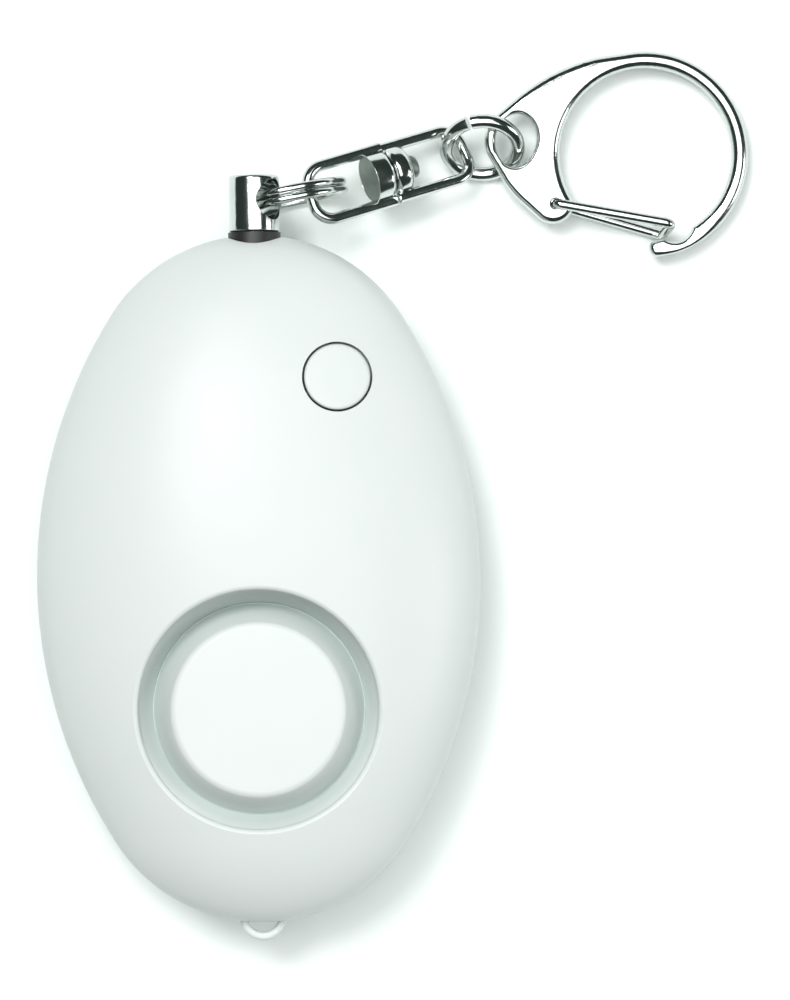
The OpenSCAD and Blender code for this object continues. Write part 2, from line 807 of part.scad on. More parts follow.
module snap_hook() {
  reach = 3 * hook_r;
  color("silver") hook_frame() difference() {
    union() {
      difference() {
        hull() {
          rounded_disc(hook_r);
          translate([-hook_nose[0], -hook_eye_drop, 0]) rounded_disc(hook_nose[1], $fn = 40);
          for (a = [112:7:140]) discs_along(hook_back, a, hook_back_disc);
          for (a = [206:12:242]) discs_along(hook_belly, a, hook_belly_disc);
          translate([hook_lobe[0], hook_lobe[1], 0]) rounded_disc(hook_lobe[2], $fn = 40);
        }
        translate([0, 0, -hook_t]) linear_extrude(2 * hook_t) polygon([
          [0, 0], for (i = [0:3]) let (a = gap_from + i * (gap_to - gap_from) / 3) reach * [cos(a), sin(a)]
        ]);
      }
      translate([hook_lobe[0], hook_lobe[1], 0]) rounded_disc(hook_lobe[2]);
      translate([tip_at[0], tip_at[1], 0]) rounded_disc(tip_r);
    }
    soft_hole(hook_open_r, hook_edge);
    translate([notch_at[0], notch_at[1], -hook_t]) cylinder(r = notch_r, h = 2 * hook_t);
    translate([-hook_eye_x, -hook_eye_drop, 0]) scale([hook_eye_half[0] / hook_eye_half[1], 1, 1])
      soft_hole(hook_eye_half[1], 0.5);
    translate([gate_at[0], gate_at[1], -hook_t])
      cylinder(d = gate_wire + 2 * gate_gap, h = 2 * hook_t);
  }
}

module hook_gate() {
  h = gate_at;
  f = gate_front_end;
  r = gate_rear_end;
  color("silver") hook_frame() wire([
    [h[0], h[1], gate_stub], [h[0], h[1], gate_z], [f[0], f[1], gate_z], [r[0], r[1], -gate_z],
    [h[0], h[1], -gate_z], [h[0], h[1], -gate_stub]
  ], gate_bend, gate_wire);
}

front_shell();
rear_shell();
sounder_cap();
sounder_gasket();
sounder_disc();
sounder_ceramic();
sounder_leads();
push_button();
switch_plunger();
switch_base();
circuit_board();
driver_chip();
step_up_coil();
button_cells();
positive_contact();
negative_contact();
pin_socket();
socket_contact();
case_screws();
pull_pin();
split_ring();
swivel_inner_eye();
swivel_rivet();
swivel_outer_eye();
jump_ring();
snap_hook();
hook_gate();
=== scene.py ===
"""Personal safety alarm: smooth surfaces, finishes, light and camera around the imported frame."""

from __future__ import annotations

import logging
import math
from dataclasses import dataclass, field, replace
from enum import Enum
from typing import Callable, Sequence

import bpy
import numpy as np
from mathutils import Matrix, Vector

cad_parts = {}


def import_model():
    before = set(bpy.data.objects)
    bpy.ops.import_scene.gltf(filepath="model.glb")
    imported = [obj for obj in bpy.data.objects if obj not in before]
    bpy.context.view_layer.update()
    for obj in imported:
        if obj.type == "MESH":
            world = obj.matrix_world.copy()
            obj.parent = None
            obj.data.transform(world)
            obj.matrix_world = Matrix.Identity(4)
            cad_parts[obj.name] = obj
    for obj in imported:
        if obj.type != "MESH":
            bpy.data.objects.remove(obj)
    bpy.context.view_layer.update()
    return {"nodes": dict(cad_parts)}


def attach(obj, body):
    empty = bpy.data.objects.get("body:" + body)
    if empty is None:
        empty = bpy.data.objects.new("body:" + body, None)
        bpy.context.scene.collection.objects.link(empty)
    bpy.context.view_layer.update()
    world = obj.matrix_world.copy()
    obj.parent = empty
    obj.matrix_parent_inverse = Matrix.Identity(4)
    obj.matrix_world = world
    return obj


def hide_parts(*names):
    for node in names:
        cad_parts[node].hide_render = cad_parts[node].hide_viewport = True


LOG = logging.getLogger("alarm")
MM = 0.001
# Points closer than this are one point, and shorter edges are none, in metres
SAME_POINT = 1e-7
NO_LENGTH = 1e-8
# Degrees by which a face may lean from the skin and still take its normals
SKIN_LEAN = 24.0
# Degrees that keep a cutter's corners off the lines of the piece that it cuts
CUTTER_TURN = 1.3
# Place of the sounder's axis along the case, and the radius within which painted shade, with some dust,
# is drawn in the moat
SOUNDER_Y = -11.2
MOAT_REACH = 12.0
# Radius from the sounder's axis in millimetres, and how much of the colour is painted shade there,
# partly dust: a greyer colour, darkest at the moat's foot, stands in for the groove's shade
MOAT_SHADE_AND_DUST = ((7.4, 0.0), (8.9, 1.0), (9.7, 0.9), (10.5, 0.0))
# Least and most of that share, over the grain of the surface
SHADE_AND_DUST_COVER = (0.75, 1.0)
Point = tuple[float, float, float]
Profile = Sequence[tuple[float, float]]
Loop = tuple[np.ndarray, np.ndarray, np.ndarray]
Place = Callable[[np.ndarray, np.ndarray], np.ndarray]
Region = Callable[[np.ndarray, np.ndarray], np.ndarray]
Slope = Callable[[np.ndarray], tuple[np.ndarray, np.ndarray]]


class Link(Enum):
    """Bodies that the pieces ride on."""

    HOUSING = "housing"
    BUTTON = "button"
    PIN = "pin"
    RING = "key_ring"
    INNER = "swivel_inner"
    OUTER = "swivel_outer"
    JUMP = "link_ring"
    HOOK = "hook"
    GATE = "gate"


class Shape(Enum):
    """Ways to combine two solids."""

    CUT = "DIFFERENCE"
    ADD = "UNION"


def linear(hex_code: str) -> tuple[float, float, float, float]:
    """Turns an sRGB hex colour into linear RGBA.

    Args:
        hex_code: Six hex digits, with or without a leading hash.

    Returns:
        Linear red, green, blue and an alpha of one.
    """
    digits = hex_code.lstrip("#")
    parts = [int(digits[i : i + 2], 16) / 255 for i in (0, 2, 4)]
    lin = [c / 12.92 if c <= 0.04045 else ((c + 0.055) / 1.055) ** 2.4 for c in parts]
    return (lin[0], lin[1], lin[2], 1.0)


def add_node(
    tree: bpy.types.NodeTree,
    kind: str,
    settings: dict | None = None,
    links: dict | None = None,
) -> bpy.types.Node:
    """Adds a node to a tree, sets it up and links its inputs.

    Args:
        tree: Node tree that gets the node.
        kind: Blender's name of the node type.
        settings: Attribute names, or input names with a leading dot, and their values.
        links: Input names and the output sockets that feed them.

    Returns:
        The new node.
    """
    node = tree.nodes.new(kind)
    for key, value in (settings or {}).items():
        if key.startswith("."):
            node.inputs[key[1:]].default_value = value
        else:
            setattr(node, key, value)
    for key, socket in (links or {}).items():
        tree.links.new(socket, node.inputs[key])
    return node


@dataclass(frozen=True)
class Finish:
    """One surface: its colours, gloss and the fine detail that the real one shows.

    Attributes:
        name: Name of the material.
        light: Main colour, sRGB hex.
        dark: Colour of its faint variation, sRGB hex.
        metallic: One for bare metal.
        rough: Lowest and highest roughness over the surface.
        grain_mm: Size of the roughness and colour variation.
        bump_mm: Height of the fine unevenness.
        bump_grain_mm: Size of that unevenness.
        ior: Refractive index of a plastic; a metal keeps the default.
        specular: Strength of a plastic's mirror part, one half as a rule.
        moat_shade_and_dust: Greyer colour painted into the moat round the sounder, mostly as the
            groove's shade and partly as dust, or none.
    """

    name: str
    light: str
    dark: str
    metallic: float = 0.0
    rough: tuple[float, float] = (0.3, 0.4)
    grain_mm: float = 4.0
    bump_mm: float = 0.0
    bump_grain_mm: float = 1.0
    ior: float = 1.5
    specular: float = 0.5
    # Greyer colour of the moat round the sounder: painted shade of the groove, partly dust
    moat_shade_and_dust: str = ""

    def material(self) -> bpy.types.Material:
        """Builds the node material.

        Returns:
            The material, made once and found by its name after that.
        """
        known = bpy.data.materials.get(self.name)
        if known:
            return known
        made = bpy.data.materials.new(self.name)
        made.use_nodes = True
        tree = made.node_tree
        tree.nodes.clear()
        where = add_node(tree, "ShaderNodeTexCoord")
        grain = add_node(
            tree,
            "ShaderNodeTexNoise",
            {".Scale": 1 / (self.grain_mm * MM), ".Detail": 3.0, ".Roughness": 0.55},
            {"Vector": where.outputs["Object"]},
        )
        tint = add_node(
            tree,
            "ShaderNodeMix",
            {"data_type": "RGBA"},
            {"Factor": grain.outputs["Fac"]},
        )
        tint.inputs[6].default_value = linear(self.light)
        tint.inputs[7].default_value = linear(self.dark)
        # Painted shade: the moat round the sounder is greyed towards its foot, mostly for the groove's
        # shade and partly for dust
        if self.moat_shade_and_dust:
            tint = self.paint_moat_shade_and_dust(tree, where.outputs["Object"], grain.outputs["Fac"], tint.outputs[2])
        gloss = add_node(
            tree,
            "ShaderNodeMapRange",
            {".To Min": self.rough[0], ".To Max": self.rough[1]},
            {"Value": grain.outputs["Fac"]},
        )
        shader = add_node(
            tree,
            "ShaderNodeBsdfPrincipled",
            {".Metallic": self.metallic},
            {"Base Color": tint.outputs[2], "Roughness": gloss.outputs["Result"]},
        )
        if self.metallic < 1:
            shader.inputs["IOR"].default_value = self.ior
            shader.inputs["Specular IOR Level"].default_value = self.specular
        if self.bump_mm:
            waves = add_node(
                tree,
                "ShaderNodeTexNoise",
                {".Scale": 1 / (self.bump_grain_mm * MM), ".Detail": 2.0},
                {"Vector": where.outputs["Object"]},
            )
            bump = add_node(
                tree,
                "ShaderNodeBump",
                {".Strength": 1.0, ".Distance": self.bump_mm * MM},
                {"Height": waves.outputs["Fac"]},
            )
            tree.links.new(bump.outputs["Normal"], shader.inputs["Normal"])
        add_node(
            tree, "ShaderNodeOutputMaterial", None, {"Surface": shader.outputs["BSDF"]}
        )
        return made

    def paint_moat_shade_and_dust(
        self,
        tree: bpy.types.NodeTree,
        where: bpy.types.NodeSocket,
        grain: bpy.types.NodeSocket,
        unshaded_colour: bpy.types.NodeSocket,
    ) -> bpy.types.Node:
        """Paints shade into the ring-shaped moat, darkest at its foot, with a little dust in it.

        Args:
            tree: Node tree of the material.
            where: Object coordinates.
            grain: Variation of the surface.
            unshaded_colour: Colour without the painted shade and dust.

        Returns:
            The node that mixes both colours.
        """
        from_axis = add_node(
            tree, "ShaderNodeVectorMath", {"operation": "SUBTRACT"}, {0: where}
        )
        from_axis.inputs[1].default_value = (0, SOUNDER_Y * MM, 0)
        flat = add_node(
            tree,
            "ShaderNodeVectorMath",
            {"operation": "MULTIPLY"},
            {0: from_axis.outputs["Vector"]},
        )
        flat.inputs[1].default_value = (1, 1, 0)
        far = add_node(
            tree, "ShaderNodeVectorMath", {"operation": "LENGTH"}, {0: flat.outputs["Vector"]}
        )
        share = add_node(
            tree,
            "ShaderNodeMapRange",
            {".From Max": MOAT_REACH * MM},
            {"Value": far.outputs["Value"]},
        )
        # The ramp greys the moat most at its foot: painted shade of the groove, with some dust
        ring = add_node(tree, "ShaderNodeValToRGB", None, {"Fac": share.outputs["Result"]})
        stops = ring.color_ramp.elements
        while len(stops) < len(MOAT_SHADE_AND_DUST):
            stops.new(0.5)
        for stop, (radius, weight) in zip(stops, MOAT_SHADE_AND_DUST):
            stop.position = radius / MOAT_REACH
            stop.color = (weight, weight, weight, 1)
        patchy = add_node(
            tree,
            "ShaderNodeMapRange",
            {".To Min": SHADE_AND_DUST_COVER[0], ".To Max": SHADE_AND_DUST_COVER[1]},
            {"Value": grain},
        )
        cover = add_node(
            tree,
            "ShaderNodeMath",
            {"operation": "MULTIPLY"},
            {0: ring.outputs["Color"], 1: patchy.outputs["Result"]},
        )
        mixed = add_node(
            tree,
            "ShaderNodeMix",
            {"data_type": "RGBA"},
            {"Factor": cover.outputs["Value"], 6: unshaded_colour},
        )
        mixed.inputs[7].default_value = linear(self.moat_shade_and_dust)
        return mixed


# Injection-moulded ABS in cool white: smooth mould gloss with the faintest waves
WHITE_ABS = Finish(
    "white_abs_moulded", "#D6DBD9", "#D2D8D6", rough=(0.32, 0.38), grain_mm=9.0,
    bump_mm=0.004, bump_grain_mm=2.5, ior=1.53, specular=0.25,
)
# The same for the front half, whose moat is greyed towards its foot: painted shade of the groove, with
# some dust
WHITE_ABS_FRONT = replace(WHITE_ABS, name="white_abs_moulded_front", moat_shade_and_dust="#B4BFBB")
# The same ABS from a finely sparked mould: a softer sheen on the cap and the button. The cap's slope
# into the moat gets the same painted shade, with some dust, and the button lies beyond its reach
WHITE_ABS_SATIN = Finish(
    "white_abs_satin", "#D8DDDB", "#D4DAD8", rough=(0.38, 0.44), grain_mm=6.0,
    bump_mm=0.003, bump_grain_mm=0.7, ior=1.53, specular=0.25, moat_shade_and_dust="#B4BFBB",
)
# Bright nickel-chrome plate on barrelled zinc and steel wire: mirror gloss, faint waves
CHROME = Finish(
    "bright_chrome_plate", "#D5D9D7", "#C6CCC9", metallic=1.0, rough=(0.08, 0.2),
    grain_mm=0.9, bump_mm=0.012, bump_grain_mm=0.6,
)
# Rivet head pressed flat, plated dull
DULL_PLATE = Finish(
    "dull_rivet_plate", "#8F9792", "#7F8783", metallic=1.0, rough=(0.42, 0.55),
    grain_mm=0.8, bump_mm=0.004, bump_grain_mm=0.5,
)
# Black moulded nylon of the pin socket and small parts
BLACK_NYLON = Finish(
    "black_nylon_moulded", "#17191A", "#1E2122", rough=(0.4, 0.5), grain_mm=1.5,
    bump_mm=0.003, bump_grain_mm=0.4,
)
GREY_NYLON = Finish("grey_nylon_moulded", "#5B5F60", "#515556", rough=(0.4, 0.5))
# Zinc-plated screws and nickel-plated cells and contacts
ZINC_PLATE = Finish(
    "zinc_plated_steel", "#A9ADAD", "#979C9C", metallic=1.0, rough=(0.25, 0.38),
    grain_mm=1.0, bump_mm=0.003, bump_grain_mm=0.5,
)
BRASS_SHEET = Finish(
    "brass_sheet", "#C9A45A", "#B8924A", metallic=1.0, rough=(0.22, 0.34), grain_mm=2.0
)
SILVERED_CERAMIC = Finish("silvered_ceramic", "#D6D3C8", "#C8C5BB", rough=(0.45, 0.55))
SOLDER_MASK = Finish("green_solder_mask", "#1E5B35", "#1A4F2E", rough=(0.25, 0.35))
COPPER_WIRE = Finish("enamelled_copper", "#B3673A", "#9C5730", metallic=1.0, rough=(0.3, 0.4))
RED_PVC = Finish("red_pvc_sleeve", "#A01A14", "#8C1611", rough=(0.35, 0.45))
GREY_FOAM = Finish(
    "grey_foam", "#3A3C3D", "#2E3031", rough=(0.8, 0.95), bump_mm=0.05, bump_grain_mm=0.5
)

CAD_FINISHES: dict[str, Finish] = {
    "sounder_gasket": GREY_FOAM,
    "sounder_disc": BRASS_SHEET,
    "sounder_ceramic": SILVERED_CERAMIC,
    "sounder_leads": RED_PVC,
    "switch_plunger": GREY_NYLON,
    "switch_base": BLACK_NYLON,
    "circuit_board": SOLDER_MASK,
    "driver_chip": BLACK_NYLON,
    "step_up_coil": COPPER_WIRE,
    "button_cells": ZINC_PLATE,
    "positive_contact": ZINC_PLATE,
    "negative_contact": ZINC_PLATE,
    "pin_socket": BLACK_NYLON,
    "socket_contact": BRASS_SHEET,
    "case_screws": ZINC_PLATE,
}


def deselect() -> None:
    """Clears the selection, so that the next operator acts on new work only."""
    if bpy.context.object and bpy.context.object.mode != "OBJECT":
        bpy.ops.object.mode_set(mode="OBJECT")
    bpy.ops.object.select_all(action="DESELECT")


def activate(obj: bpy.types.Object) -> None:
    """Makes one object the only selected and active one.

    Args:
        obj: Object that the next operator acts on.
    """
    deselect()
    obj.select_set(True)
    bpy.context.view_layer.objects.active = obj


def weld(obj: bpy.types.Object) -> None:
    """Merges doubled points and turns the faces outwards.

    Args:
        obj: Mesh object to close.
    """
    activate(obj)
    bpy.ops.object.mode_set(mode="EDIT")
    bpy.ops.mesh.select_all(action="SELECT")
    bpy.ops.mesh.remove_doubles(threshold=SAME_POINT)
    bpy.ops.mesh.dissolve_degenerate(threshold=NO_LENGTH)
    bpy.ops.mesh.normals_make_consistent(inside=False)
    bpy.ops.object.mode_set(mode="OBJECT")


def unite(obj: bpy.types.Object, others: Sequence[bpy.types.Object]) -> None:
    """Joins the meshes of other pieces to one.

    Args:
        obj: Piece that keeps its name.
        others: Pieces that become part of it.
    """
    activate(obj)
    for other in others:
        other.select_set(True)
    bpy.ops.object.join()


def read(
    items: bpy.types.bpy_prop_collection, name: str, width: int, kind: type = np.float32
) -> np.ndarray:
    """Reads one value of every point, corner or face of a mesh.

    Args:
        items: The mesh's points, corners or faces.
        name: Name of the value.
        width: How many numbers it has.
        kind: Type of the numbers.

    Returns:
        One row of numbers for each item, or one number where the width is one.
    """
    values = np.zeros(len(items) * width, kind)
    items.foreach_get(name, values)
    return values.reshape(-1, width) if width > 1 else values


def moved(at: Sequence[float], *turns: tuple[float, str]) -> Matrix:
    """Gives the matrix that turns a piece and moves it to its place.

    Args:
        at: Place in millimetres.
        turns: Degrees and axis of each turn, the last one made first.

    Returns:
        The matrix, in metres.
    """
    matrix = Matrix.Translation(Vector(at) * MM)
    for degrees, axis in turns:
        matrix = matrix @ Matrix.Rotation(math.radians(degrees), 4, axis)
    return matrix


def direction(heading: float, fall: float = 0.0) -> np.ndarray:
    """Gives a direction from its angles.

    Args:
        heading: Degrees in plan, from +X towards +Y.
        fall: Degrees below the level.

    Returns:
        A vector of length one.
    """
    turn, drop = math.radians(heading), math.radians(fall)
    level = math.cos(drop)
    return np.array([level * math.cos(turn), level * math.sin(turn), -math.sin(drop)])


def disc_edge(disc: Sequence[float], angle: np.ndarray) -> np.ndarray:
    """Gives points on the edge of a disc, which is its middle and its radius."""
    return np.array(disc[:2]) + disc[2] * np.stack([np.cos(angle), np.sin(angle)], -1)


def wrapped_grid(name: str, columns: int, rows: int, place: Place) -> bpy.types.Object:
    """Adds a grid and wraps it round a form.

    Args:
        name: Name of the piece.
        columns: Faces along u.
        rows: Faces along v.
        place: Gives points in millimetres for arrays of u and v from 0 to 1.

    Returns:
        The welded mesh object.
    """
    deselect()
    bpy.ops.mesh.primitive_grid_add(x_subdivisions=columns, y_subdivisions=rows, size=1)
    obj = bpy.context.object
    obj.name = obj.data.name = name
    uv = read(obj.data.vertices, "co", 3)[:, :2].astype(float) + 0.5
    points = place(np.clip(uv[:, 0], 0, 1), np.clip(uv[:, 1], 0, 1)) * MM
    obj.data.vertices.foreach_set("co", points.astype(np.float32).ravel())
    obj.data.update()
    weld(obj)
    return obj


def rows_form(radii: np.ndarray, heights: np.ndarray, centre: Point = (0, 0, 0)) -> Place:
    """Makes a placing function from rows of radius and height round an axis along Z.

    Args:
        radii: Radius for each row and angle step, or one column for a round form.
        heights: Height for each row and angle step.
        centre: Place of the axis.

    Returns:
        A function for wrapped_grid.
    """
    n_rows = radii.shape[0]

    def place(u: np.ndarray, v: np.ndarray) -> np.ndarray:
        """Looks up one row and column for each point.

        Args:
            u: Share of the way round.
            v: Share of the way from the first row to the last.

        Returns:
            Points in millimetres.
        """
        row = np.rint(v * (n_rows - 1)).astype(int)
        step = np.rint(u * (radii.shape[1] - 1)).astype(int) if radii.shape[1] > 1 else 0
        r, h = radii[row, step], heights[row, step]
        angle = 2 * np.pi * u
        return np.stack(
            [centre[0] + r * np.cos(angle), centre[1] + r * np.sin(angle), centre[2] + h], 1
        )

    return place


@dataclass
class Skin:
    """Rows of radius and height round an upright axis, through which a skin is drawn.

    Attributes:
        steps: Faces round the axis.
        radii: Radius of each row at each angle.
        heights: Height of each row at each angle.
    """

    steps: int
    radii: list[np.ndarray] = field(default_factory=list)
    heights: list[np.ndarray] = field(default_factory=list)

    @property
    def angle(self) -> np.ndarray:
        """Gives the angles at which each row is drawn."""
        return np.linspace(0, 2 * np.pi, self.steps + 1)

    def add(self, radius: float | np.ndarray, height: float | np.ndarray) -> None:
        """Adds a row, in which a plain number holds all the way round."""
        self.radii.append(np.zeros(self.steps + 1) + radius)
        self.heights.append(np.zeros(self.steps + 1) + height)

    def wrap(self, name: str, centre: Point) -> bpy.types.Object:
        """Draws the skin.

        Args:
            name: Name of the piece.
            centre: Place of the axis.

        Returns:
            The welded mesh object.
        """
        form = rows_form(np.array(self.radii), np.array(self.heights), centre)
        return wrapped_grid(name, self.steps, len(self.radii) - 1, form)


def turned(name: str, profile: Profile, steps: int = 96) -> bpy.types.Object:
    """Turns a profile of radius and height round Z.

    Args:
        name: Name of the piece.
        profile: Radius and height in millimetres, from end to end.
        steps: Faces round the axis.

    Returns:
        The turned piece.
    """
    table = np.array(profile, float)
    form = rows_form(table[:, :1], table[:, 1:])
    return wrapped_grid(name, steps, len(profile) - 1, form)


def corner(
    before: Vector, here: Vector, after: Vector, radius: float
) -> tuple[Vector, Vector, Vector]:
    """Works out the rounding of one corner.

    Args:
        before: Point before the corner.
        here: The corner.
        after: Point after it.
        radius: Radius of the rounding.

    Returns:
        Start, end and hub of the rounding.
    """
    back, ahead = (before - here).normalized(), (after - here).normalized()
    half = math.acos(max(-1, min(1, back.dot(ahead)))) / 2
    setback = radius / math.tan(half)
    hub = here + (back + ahead).normalized() * (radius / math.sin(half))
    return here + back * setback, here + ahead * setback, hub


def rounded(points: Profile, radii: Sequence[float], steps: int = 5) -> Profile:
    """Rounds the corners of a profile.

    Args:
        points: Corners of the profile.
        radii: Rounding at each corner, zero for a sharp one.
        steps: Points along each rounding.

    Returns:
        The profile with its roundings.
    """
    out: list[tuple[float, float]] = []
    last = len(points) - 1
    for i, (p, r) in enumerate(zip(points, radii)):
        if i in (0, last) or r <= 0:
            out.append(p)
            continue
        start, end, hub = corner(Vector(points[i - 1]), Vector(p), Vector(points[i + 1]), r)
        for k in range(steps + 1):
            blend = start.lerp(end, k / steps) - hub
            out.append(tuple(hub + blend.normalized() * r))
    return out


def tube(name: str, path: np.ndarray, radius: float, sides: int = 6) -> bpy.types.Object:
    """Draws round wire along a path.

    Args:
        name: Name of the piece.
        path: Points in millimetres.
        radius: Radius of the wire in millimetres.
        sides: Bevel resolution of the wire's section.

    Returns:
        The wire as a mesh.
    """
    deselect()
    curve = bpy.data.curves.new(name, "CURVE")
    curve.dimensions = "3D"
    curve.bevel_depth = radius * MM
    curve.bevel_resolution = sides
    curve.use_fill_caps = True
    line = curve.splines.new("POLY")
    line.points.add(len(path) - 1)
    line.points.foreach_set(
        "co", np.hstack([path * MM, np.ones((len(path), 1))]).astype(np.float32).ravel()
    )
    obj = bpy.data.objects.new(name, curve)
    bpy.context.scene.collection.objects.link(obj)
    activate(obj)
    bpy.ops.object.convert(target="MESH")
    obj = bpy.context.object
    weld(obj)
    return obj


def edge_form(lines: np.ndarray, levels: np.ndarray) -> Place:
    """Makes a placing function from the rows of a plate's round edge.

    Args:
        lines: Outline of each row.
        levels: Height of each point of each row.

    Returns:
        A function for wrapped_grid.
    """
    n_rows, n_steps = levels.shape

    def place(u: np.ndarray, v: np.ndarray) -> np.ndarray:
        """Looks up one point of the edge for each place.

        Args:
            u: Share of the way along the outline.
            v: Share of the way from the upper face to the lower one.

        Returns:
            Points in millimetres.
        """
        row = np.rint(v * (n_rows - 1)).astype(int)
        step = np.rint(u * n_steps).astype(int) % n_steps
        return np.column_stack([lines[row, step], levels[row, step]])

    return place


def cover_open_side(obj: bpy.types.Object, side: int) -> None:
    """Fills a plate's open upper or lower face.

    Args:
        obj: The plate's edges as one mesh.
        side: One for the upper face, minus one for the lower.
    """
    bpy.ops.object.mode_set(mode="EDIT")
    bpy.ops.mesh.select_mode(type="EDGE")
    bpy.ops.mesh.select_all(action="DESELECT")
    bpy.ops.mesh.select_non_manifold(
        extend=False,
        use_wire=False,
        use_multi_face=False,
        use_non_contiguous=False,
        use_verts=False,
    )
    bpy.ops.object.mode_set(mode="OBJECT")
    for line in obj.data.edges:
        line.select = line.select and obj.data.vertices[line.vertices[0]].co.z * side > 0
    bpy.ops.object.mode_set(mode="EDIT")
    bpy.ops.mesh.fill(use_beauty=True)
    bpy.ops.mesh.select_mode(type="VERT")
    bpy.ops.object.mode_set(mode="OBJECT")


def plate(name: str, loops: Sequence[Loop], thick: float) -> bpy.types.Object:
    """Builds a plate with round edges from closed outlines.

    Args:
        name: Name of the piece.
        loops: Each outline's points, their steps into the plate per millimetre, and the radius
            of the edge at each.
        thick: Thickness.

    Returns:
        The plate, its middle at height zero.
    """
    quarter = np.radians(np.linspace(90, 0, 9))
    turns = np.concatenate([quarter, quarter[::-1]])
    sides = np.repeat([1.0, -1.0], len(quarter))
    strips = []
    for points, inward, edge in loops:
        insets = edge * (1 - np.cos(turns))[:, None]
        lines = points + inward * insets[:, :, None]
        levels = sides[:, None] * (thick / 2 - edge * (1 - np.sin(turns))[:, None])
        form = edge_form(lines, levels)
        strips.append(wrapped_grid(name, len(points), len(turns) - 1, form))
    unite(strips[0], strips[1:])
    obj = bpy.context.object
    for side in (1, -1):
        cover_open_side(obj, side)
    weld(obj)
    return obj


def combine(obj: bpy.types.Object, tool: bpy.types.Object, how: Shape) -> None:
    """Applies a boolean and removes its tool.

    Args:
        obj: Piece that is changed.
        tool: The other solid.
        how: Cut the tool away, or add it.
    """
    activate(obj)
    step = obj.modifiers.new("shape", "BOOLEAN")
    step.operation = how.value
    step.solver = "EXACT"
    step.object = tool
    bpy.ops.object.modifier_apply(modifier=step.name)
    bpy.data.objects.remove(tool)


def bore(
    obj: bpy.types.Object, radius: float, length: float, at: Point, axis: Point = (0, 0, 1)
) -> None:
    """Cuts a round hole.

    Args:
        obj: Piece that gets the hole.
        radius: Radius in millimetres.
        length: Length of the cutter in millimetres.
        at: Middle of the cutter.
        axis: Direction of the hole.
    """
    deselect()
    bpy.ops.mesh.primitive_cylinder_add(vertices=96, radius=radius * MM, depth=length * MM)
    cutter = bpy.context.object
    turn = Vector(axis).to_track_quat("Z", "Y").to_matrix().to_4x4()
    turn = turn @ Matrix.Rotation(math.radians(CUTTER_TURN), 4, "Z")
    cutter.data.transform(moved(at) @ turn)
    combine(obj, cutter, Shape.CUT)


def dress(
    obj: bpy.types.Object, finish: Finish, body: Link, node: str, crease: float = 32
) -> None:
    """Gives a piece its finish, its smoothness and its place in the frame.

    Args:
        obj: Piece to dress.
        finish: Its surface.
        body: Body that it rides on.
        node: Solid that it stands for.
        crease: Angle in degrees past which an edge stays sharp.
    """
    obj.data.materials.clear()
    obj.data.materials.append(finish.material())
    activate(obj)
    bpy.ops.object.shade_smooth_by_angle(angle=math.radians(crease))
    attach(obj, body.value)
    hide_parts(node)
    LOG.info("%s: %d faces", obj.name, len(obj.data.polygons))


def follow_form(obj: bpy.types.Object, slope: Slope) -> None:
    """Sets a domed skin's normals from its form, so that cuts leave no dents in the gloss.

    Args:
        obj: Smooth piece.
        slope: Gives, for points in millimetres, which lie on the form and its normals there.
    """
    mesh = obj.data
    point_of = read(mesh.loops, "vertex_index", 1, np.int32)
    sizes = read(mesh.polygons, "loop_total", 1, np.int32)
    face_normal = np.repeat(read(mesh.polygons, "normal", 3), sizes, axis=0)
    on_form, normal = slope(read(mesh.vertices, "co", 3).astype(float) / MM)
    near = (face_normal * normal[point_of]).sum(1) > math.cos(math.radians(SKIN_LEAN))
    wanted = np.where((on_form[point_of] & near)[:, None], normal[point_of], 0.0)
    mesh.normals_split_custom_set([tuple(row) for row in wanted])


